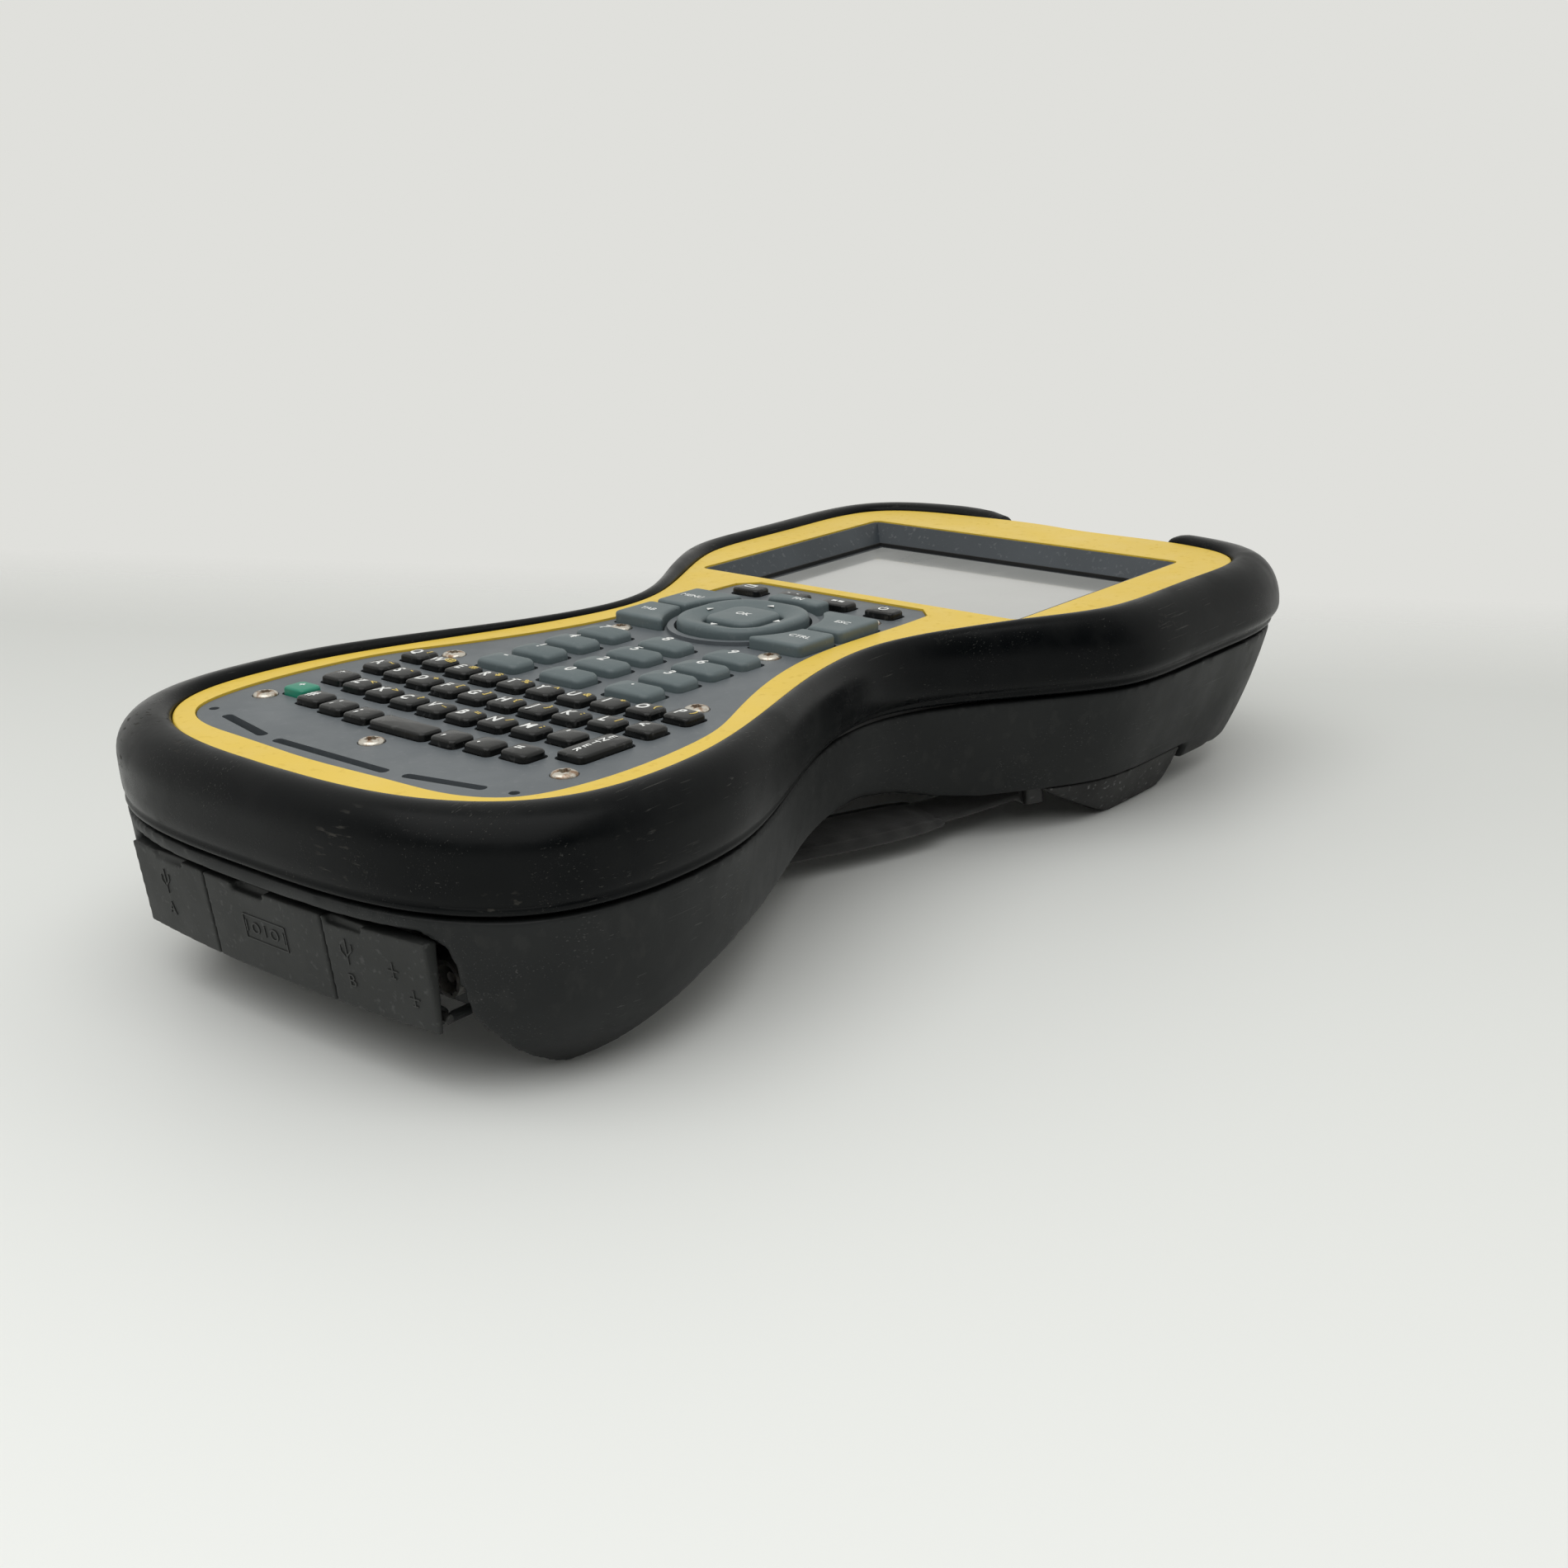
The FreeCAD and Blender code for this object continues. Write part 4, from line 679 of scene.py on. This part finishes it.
for node, rows in LETTER_ROWS.items():
    caps, ink, second = Form(), Form(), Form()
    for row_y, first, letters in rows:
        for number, letter in enumerate(letters):
            x = (first + number - 4.5) * COLUMN_PITCH
            y = row_y + SMILE_RADIUS - math.sqrt(SMILE_RADIUS ** 2 - x ** 2)
            surface = arched(x, y, *LETTER_SIZE, LETTER_TOP, 0.42, 0.16)
            key_cap(caps, x, y, *LETTER_SIZE, surface, 1.3, 0.55)
            on_surface(ink, glyphs(letter, 2.6, 0.09), x - 0.7, y - 0.2, surface)
            if letter in SHIFTED:
                on_surface(second, glyphs(SHIFTED[letter], 1.7, 0.05), x + 1.9, y + 1.2, surface)
    caps.piece(node + "_caps", node, finishes["letter_key"], (node,), "letter_key")
    ink.piece(node + "_legends", node, white_ink)
    second.piece(node + "_second_legends", node, yellow_ink)


def single_key(node, width, length, top, arch, fall, corner, edge, legend, height, stacked=False, shift=0.0):
    """A key in a body of its own, with its legend."""
    x, y = centre_of(node)
    surface = arched(x, y, width, length, top, arch, fall)
    caps, ink = Form(), Form()
    key_cap(caps, x, y, width, length, surface, corner, edge)
    finish = slots[node]
    caps.piece(node + "_cap", node, finishes[finish], (node,), finish)
    if legend and stacked:
        for number, letter in enumerate(legend):
            above = (len(legend) / 2 - 0.5 - number) * height * 1.3
            on_surface(ink, glyphs(letter, height, 0.04), x, y + above, surface)
    elif legend:
        on_surface(ink, glyphs(legend, height, 0.05), x, y + shift, surface)
    if legend:
        ink.piece(node + "_legend", node, white_ink)


for name, legend in [(str(n), str(n)) for n in range(10)] + [("minus", "-"), ("point", ".")]:
    single_key(f"digit_key_{name}", *DIGIT_KEY, DIGIT_TOP, 0.95, 0.30, 2.0, 0.8, legend, 2.9, shift=0.6)
for number in range(1, 5):
    single_key(f"app_key_{number}", *APP_KEY, LETTER_TOP, 0.35, 0.12, 1.3, 0.5, "", 0.0)
single_key("space_key", *SPACE_KEY, LETTER_TOP, 0.35, 0.16, 1.3, 0.5, "", 0.0)
single_key("enter_key", *ENTER_KEY, LETTER_TOP, 0.35, 0.30, 1.3, 0.5, "ENTER", 1.7, stacked=True)
single_key("option_key", *OPTION_KEY, LETTER_TOP, 0.35, 0.16, 1.3, 0.5, "+", 2.0)


def upright(x0, y0, x1, y1):
    """Corners of an upright rectangle between two opposite corners."""
    return [(x0, y0), (x1, y0), (x1, y1), (x0, y1)]


def circle_arc(radius, first, last, turn):
    return [(radius * math.sin(math.radians(angle)), radius * math.cos(math.radians(angle)))
            for angle in range(first, last, turn)]


def power_mark():
    """A circle open at its top, in short runs, with a bar in the gap."""
    outer, inner = circle_arc(1.25, 35, 326, 29), circle_arc(0.85, 325, 34, -29)
    runs = [[outer[step], outer[step + 1], inner[-2 - step], inner[-1 - step]]
            for step in range(len(outer) - 1)]
    return runs + [upright(-0.2, 0.2, 0.2, 1.5)]


# Outlines of each icon about its key's middle: a window, a line, two bars and a power circle.
APP_ICONS = {
    1: [upright(-1.3, 0.925, 1.3, 1.275), upright(-1.3, -0.875, 1.3, -0.525),
        upright(-1.475, -0.7, -1.125, 1.1), upright(1.125, -0.7, 1.475, 1.1), upright(-1.3, 0.5, 1.3, 1.1)],
    2: [upright(-1.6, -0.22, 1.6, 0.22)],
    3: [upright(-1.6, -0.5, -0.2, 0.5), upright(0.3, -0.5, 1.7, 0.5)],
    4: power_mark(),
}
for number, outlines in APP_ICONS.items():
    node = f"app_key_{number}"
    x, y = centre_of(node)
    surface = arched(x, y, *APP_KEY, LETTER_TOP, 0.35, 0.12)
    icon = Form()
    for corners in outlines:
        on_surface(icon, outline_solid(corners), x, y, surface)
    icon.piece(node + "_legend", node, white_ink)

# ---------------------------------------------------------------- navigation keys


# Width, length and corner radius.
RING_OUTLINE, RING_HOLE = (27.0, 27.0, 10.5), (14.9, 14.9, 4.0)


def navigation_ring():
    """Squarish ring with a rolled outer rim and a top that dips towards the OK key."""
    x, y = centre_of("navigation_ring")
    outer, inner = rectangle(*RING_OUTLINE, 10), rectangle(*RING_HOLE, 10)
    # Share of the way from the outer edge to the hole, and level.
    profile = [(0.0, KEY_FOOT), (0.0, 51.6), (0.02, 52.2), (0.06, 52.65), (0.13, 52.92), (0.22, PAD_TOP),
               (0.34, 52.95), (0.50, 52.72), (0.68, 52.40), (0.82, 52.15), (0.92, 51.95), (0.98, 51.6),
               (1.0, 51.2), (1.0, 49.1), (0.66, 49.1), (0.66, KEY_FOOT)]
    rings = []
    for share, level in profile:
        rings.append([(x + a + (c - a) * share, y + b + (d - b) * share, level)
                      for (a, b), (c, d) in zip(outer, inner)])
    form = Form()
    form.loft(rings, closed=True, capped=False)
    form.piece("navigation_ring_cap", "navigation_ring", finishes["blue_grey_key"], ("navigation_ring",),
               "blue_grey_key")
    marks = Form()
    for turn in (0, 90, 180, 270):
        angle = math.radians(turn)
        arrow = outline_solid([(-1.0, -0.55), (1.0, -0.55), (0.0, 0.75)])
        on_surface(marks, arrow, x - 10.0 * math.sin(angle), y + 10.0 * math.cos(angle), flat(52.74), turn)
    marks.piece("navigation_arrows", "navigation_ring", white_ink)


navigation_ring()
single_key("ok_key", 13.7, 13.7, PAD_TOP, 0.12, 0.12, 3.5, 0.9, "OK", 1.9)

SIDE_LEGENDS = {"side_key_upper_left": "MENU", "side_key_upper_right": "ESC", "side_key_lower_left": "TAB",
                "side_key_lower_right": "CTRL", "side_key_top": "FN"}
for node, legend in SIDE_LEGENDS.items():
    softened(node, 0.28, 6)
    x, y = centre_of(node)
    aside = 2.2 if x > 5 else -2.2 if x < -5 else 0.0
    ink = Form()
    on_surface(ink, glyphs(legend, 1.7, 0.03), x + aside, y, flat(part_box(node)[1].z / MM))
    ink.piece(node + "_legend", node, white_ink)

# ---------------------------------------------------------------- screws


def torx_screw(form, x, y, seat, tip, head, shank, way):
    """Domed screw head with a six-lobed socket; way is 1 for a head that faces up, -1 for down."""
    count = 48
    lobes = [0.44 * head * (1 + 0.17 * math.cos(6 * 2 * math.pi * step / count)) for step in range(count)]
    # Radius, or None where the ring is the socket's outline, and height over the seat.
    profile = [(0.02, (tip - seat) * way), (shank, (tip - seat) * way), (shank, 0.0), (head, 0.0),
               (head, 0.75), (head * 0.97, 1.0), (head * 0.90, 1.2), (head * 0.78, 1.36), (head * 0.62, 1.46),
               (None, 1.5), (None, 0.6), (0.02, 0.5)]
    rings = []
    for radius, height in profile:
        ring = []
        for step in range(count):
            angle = 2 * math.pi * step / count
            reach = lobes[step] if radius is None else radius
            ring.append((x + reach * math.cos(angle), y + reach * math.sin(angle), seat + way * height))
        rings.append(ring)
    form.loft(rings, closed=False)


PANEL_SCREWS = [(42.4, -101.7), (34.7, -59.1), (21.5, -22.0), (21.0, 13.2)]
PANEL_SCREWS = PANEL_SCREWS + [(-x, y) for x, y in PANEL_SCREWS] + [(0.0, -109.4)]
CASE_SCREWS = [(46.0, 106.0, 8.6), (28.0, -3.0, 18.6), (49.0, -82.0, 16.8), (37.0, 25.5, 13.0)]
CASE_SCREWS = CASE_SCREWS + [(-x, y, level) for x, y, level in CASE_SCREWS]
PANEL_SEAT, PANEL_SCREW_TIP, CASE_SCREW_TIP = FACE - 0.8, 41.0, 42.0
screws = Form()
for x, y in PANEL_SCREWS:
    torx_screw(screws, x, y, PANEL_SEAT, PANEL_SCREW_TIP, 2.5, 1.25, 1)
screws.piece("panel_torx_screws", "case", finishes["screw_steel"], ("panel_screws",), "screw_steel", 35.0)
screws = Form()
for x, y, level in CASE_SCREWS:
    torx_screw(screws, x, y, level, CASE_SCREW_TIP, 2.9, 1.5, -1)
screws.piece("case_torx_screws", "case", finishes["screw_steel"], ("case_screws",), "screw_steel", 35.0)

# ---------------------------------------------------------------- raised marks on the flaps

FLAP_FACE, FLAP_TOP, FLAP_LEAN, FLAP_CURVE = 137.4, 29.3, 7.0, 400.0


def on_flap(form, marks, x, z):
    """Raise marks from the leaning, gently curved face of the flap row."""
    points, faces = marks
    laid = []
    for u, v, w in points:
        px, pz = x + u, z + v
        py = -FLAP_FACE + px ** 2 / (2 * FLAP_CURVE) + (FLAP_TOP - pz) * math.tan(math.radians(FLAP_LEAN))
        laid.append((px, py - w * 6.0, pz))
    form.add(laid, faces)


def bar(x0, z0, x1, z1, line=0.28):
    """A straight stroke between two points."""
    along = Vector((x1 - x0, z1 - z0))
    side = Vector((-along.y, along.x)).normalized() * line / 2
    return outline_solid([(x0 - side.x, z0 - side.y), (x1 - side.x, z1 - side.y), (x1 + side.x, z1 + side.y),
                          (x0 + side.x, z0 + side.y)])


def flap_marks():
    """Generic port symbols: a plug with A, a framed row of bits, a plug with B and a jack."""
    plug = [(0, -2.6, 0, 2.4), (-1.4, -0.2, 0, -1.6), (1.4, 0.5, 0, -0.9), (-1.4, -0.2, -1.4, 0.9),
            (1.4, 0.5, 1.4, 1.6)]
    left, centre, right = Form(), Form(), Form()
    for form, x, letter in ((left, -31.5, "A"), (right, 22.6, "B")):
        for stroke in plug:
            on_flap(form, bar(*stroke), x, 23.6)
        on_flap(form, glyphs(letter, 2.6), x, 17.8)
    for stroke in ((-6, -2.4, 6, -2.4), (6, -2.4, 6, 2.4), (6, 2.4, -6, 2.4), (-6, 2.4, -6, -2.4)):
        on_flap(centre, bar(*stroke), 0.0, 21.4)
    on_flap(centre, glyphs("I O I O I", 2.4), 0.0, 21.4)
    for stroke in ((-1.2, 0, 1.2, 0), (-0.6, -1.4, 0.6, -1.4), (0, -1.4, 0, 1.6)):
        on_flap(right, bar(*stroke), 33.6, 22.6)
        on_flap(right, bar(*stroke), 37.6, 18.2)
    for side, form in (("left", left), ("centre", centre), ("right", right)):
        form.piece(f"flap_marks_{side}", f"port_flap_{side}", grey_ink)


flap_marks()

# ---------------------------------------------------------------- hand strap

# Turn of the strap about Z, its offset, and its middle line from the bar behind the legs to the far bar.
STRAP_TURN, STRAP_X = -20.1, 25.3
STRAP_LINE = [(-86, 10.4), (-76, 9.6), (-62, 8.0), (-40, 6.6), (-14, 6.0), (10, 5.8), (28, 6.2), (45, 8.0)]
STRAP_WIDTH, STRAP_THICKNESS = 12.0, 2.2
PAD_WIDTH, PAD_THICKNESS = 19.0, 3.6
PAD_NEAR, PAD_FAR = -58.0, 20.0
BAR_RADIUS = 1.3


def strap_height(y):
    """Level of the strap's middle: a smooth curve through its line."""
    ys, zs = [p[0] for p in STRAP_LINE], [p[1] for p in STRAP_LINE]
    spread = [-6.0, -3.0, 0.0, 3.0, 6.0]
    return sum(float(np.interp(y + d, ys, zs)) for d in spread) / len(spread)


def strap_place(x, y, z):
    turned = Matrix.Rotation(math.radians(STRAP_TURN), 3, "Z") @ Vector((x, y, 0.0))
    return turned.x + STRAP_X, turned.y, z


def band_section(width, thickness, sides=28, power=4.0):
    """Flat, soft-edged section of a band, as (across, up)."""
    ring = []
    for step in range(sides):
        angle = 2 * math.pi * step / sides
        c, s = math.cos(angle), math.sin(angle)
        ring.append((width / 2 * math.copysign(abs(c) ** (2 / power), c),
                     thickness / 2 * math.copysign(abs(s) ** (2 / power), s)))
    return ring


def make_strap():
    """Webbing with a sewn loop round each bar, and the stitched pad that the hand bears on."""
    webbing = Form()
    y0, y1 = STRAP_LINE[0][0], STRAP_LINE[-1][0]
    rings = []
    for step in range(91):
        y = y0 + (y1 - y0) * step / 90
        section = band_section(STRAP_WIDTH, STRAP_THICKNESS * (1.0 if step not in (0, 90) else 0.6))
        rings.append([strap_place(u, y, strap_height(y) + v) for u, v in section])
    webbing.loft(rings, closed=False)
    half, inside, outside = STRAP_WIDTH / 2, BAR_RADIUS + 0.05, BAR_RADIUS + 1.65
    circle = [(math.cos(math.radians(turn)), math.sin(math.radians(turn))) for turn in range(0, 360, 12)]
    for y, z in (STRAP_LINE[0], STRAP_LINE[-1]):
        loops = [[strap_place(u, y + radius * c, z + radius * s) for c, s in circle]
                 for u, radius in ((-half, inside), (-half, outside), (half, outside), (half, inside))]
        webbing.loft(loops, closed=True, capped=False)
    webbing.piece("strap_webbing", "case", finishes["strap_webbing"], ("hand_strap",), "strap_webbing", 50.0)
    pad = Form()
    rings = []
    steps = 72
    for step in range(steps + 1):
        y = PAD_NEAR + (PAD_FAR - PAD_NEAR) * step / steps
        end = math.sqrt(max(1.0 - abs(2 * step / steps - 1.0) ** 6, 0.0))
        seam = 1.0 - 0.16 * math.exp(-((abs(2 * step / steps - 1.0) - 0.93) / 0.03) ** 2)
        width = PAD_WIDTH * (0.86 + 0.14 * end) * (1.0 - 0.02 * math.cos(4 * math.pi * step / steps))
        ring = []
        for u, v in band_section(width, PAD_THICKNESS * (0.45 + 0.55 * end) * seam, 44, 2.9):
            edge_seam = 1.0 - 0.30 * math.exp(-((abs(u) - width / 2 + 2.6) / 0.7) ** 2)
            ring.append(strap_place(u, y, strap_height(y) + v * edge_seam))
        rings.append(ring)
    pad.loft(rings, closed=False)
    cushion = pad.piece("strap_pad", "case", finishes["strap_webbing"], (), "strap_webbing", 60.0)


make_strap()

# ---------------------------------------------------------------- floor, light and camera


def make_floor():
    """Pale paper with a painted light falloff: painted shade darkens it a little towards the far side, where
    it fades into the backdrop.
    """
    mesh = bpy.data.meshes.new("floor")
    work = bmesh.new()
    bmesh.ops.create_circle(work, cap_ends=True, cap_tris=False, segments=96, radius=2.2)
    work.to_mesh(mesh)
    work.free()
    floor = bpy.data.objects.new("floor", mesh)
    scene.collection.objects.link(floor)
    tree = Tree("floor_paper", Roughness=0.55, Specular_IOR_Level=0.25)
    # Distance towards the backdrop beyond the display end.
    beyond = tree.plus(tree.times(tree.axis("X"), -0.43), tree.times(tree.axis("Y"), 0.90))
    # Painted light and shade: the paper's colour is lighter at the near side and darker towards the backdrop,
    # standing in for the light falling off.
    depth = tree.plus(tree.span(beyond, -0.45, 0.17), tree.times(tree.noise(160.0, 3.0), 0.02))
    tone = tree.blend(depth, (0.90, 0.915, 0.905), (0.66, 0.67, 0.655))
    reach = tree.node("VectorMath", {"operation": "LENGTH"}, Vector=tree.place).outputs["Value"]
    rim = tree.span(reach, 0.6, 1.3, 1.0, 0.0)
    tree.feed(tree.shader.inputs["Alpha"], tree.times(rim, tree.span(beyond, 0.15, 0.26, 1.0, 0.0)))
    tree.finish(tone, 0.5, tree.noise(3.0, 4.0), 0.01)
    mesh.materials.append(tree.material)


def make_soft_box():
    """Large soft light above the near end."""
    lamp = bpy.data.lights.new("soft_box", "AREA")
    lamp.shape = "RECTANGLE"
    lamp.size, lamp.size_y = 1.7, 1.5
    lamp.energy = 12.5
    lamp.color = (1.0, 1.0, 0.985)
    place, target = Vector((0.20, -0.55, 1.10)), Vector((0.0, -0.15, 0.0))
    item = bpy.data.objects.new("soft_box", lamp)
    item.location = place
    item.rotation_mode = "QUATERNION"
    item.rotation_quaternion = (target - place).to_track_quat("-Z", "Y")
    scene.collection.objects.link(item)


def make_world():
    world = bpy.data.worlds.new("studio")
    world.use_nodes = True
    nodes, links = world.node_tree.nodes, world.node_tree.links
    place = nodes.new("ShaderNodeTexCoord")
    shade = nodes.new("ShaderNodeMath")
    shade.operation = "MULTIPLY"
    # The room is dark in one quarter, and only above the height of a backdrop.
    for share, (way, low, high) in zip(shade.inputs, (((0.60, -0.78, 0.12), 0.05, 0.65),
                                                      ((0.0, 0.0, 1.0), 0.10, 0.24))):
        towards = nodes.new("ShaderNodeVectorMath")
        towards.operation = "DOT_PRODUCT"
        towards.inputs[1].default_value = way
        links.new(place.outputs["Generated"], towards.inputs[0])
        ramp = nodes.new("ShaderNodeMapRange")
        ramp.inputs["From Min"].default_value = low
        ramp.inputs["From Max"].default_value = high
        links.new(towards.outputs["Value"], ramp.inputs["Value"])
        links.new(ramp.outputs["Result"], share)
    strength = nodes.new("ShaderNodeMapRange")
    strength.inputs["To Min"].default_value = 1.0
    strength.inputs["To Max"].default_value = 0.08
    links.new(shade.outputs[0], strength.inputs["Value"])
    background = nodes["Background"]
    background.inputs["Color"].default_value = (0.745, 0.745, 0.715, 1.0)
    links.new(strength.outputs["Result"], background.inputs["Strength"])
    scene.world = world


def make_camera():
    """Low view from the right of the near end, slightly rolled."""
    place = (0.27847, -0.32340, 0.15676)
    azimuth, elevation, roll = math.radians(40.08), math.radians(18.78), -0.022
    back = Vector((math.sin(azimuth) * math.cos(elevation), -math.cos(azimuth) * math.cos(elevation),
                   math.sin(elevation)))
    right = (-back).cross(Vector((0, 0, 1))).normalized()
    up = right.cross(-back)
    side = math.cos(roll) * right + math.sin(roll) * up
    top = -math.sin(roll) * right + math.cos(roll) * up
    lens = bpy.data.cameras.new("camera")
    lens.sensor_width = 36.0
    lens.lens = 45.05
    lens.clip_start, lens.clip_end = 0.01, 20.0
    camera = bpy.data.objects.new("camera", lens)
    rows = [(side[axis], top[axis], back[axis], place[axis]) for axis in range(3)]
    camera.matrix_world = Matrix(rows + [(0, 0, 0, 1)])
    scene.collection.objects.link(camera)
    scene.camera = camera


make_floor()
make_world()
make_soft_box()
make_camera()
scene.view_settings.view_transform = "Standard"
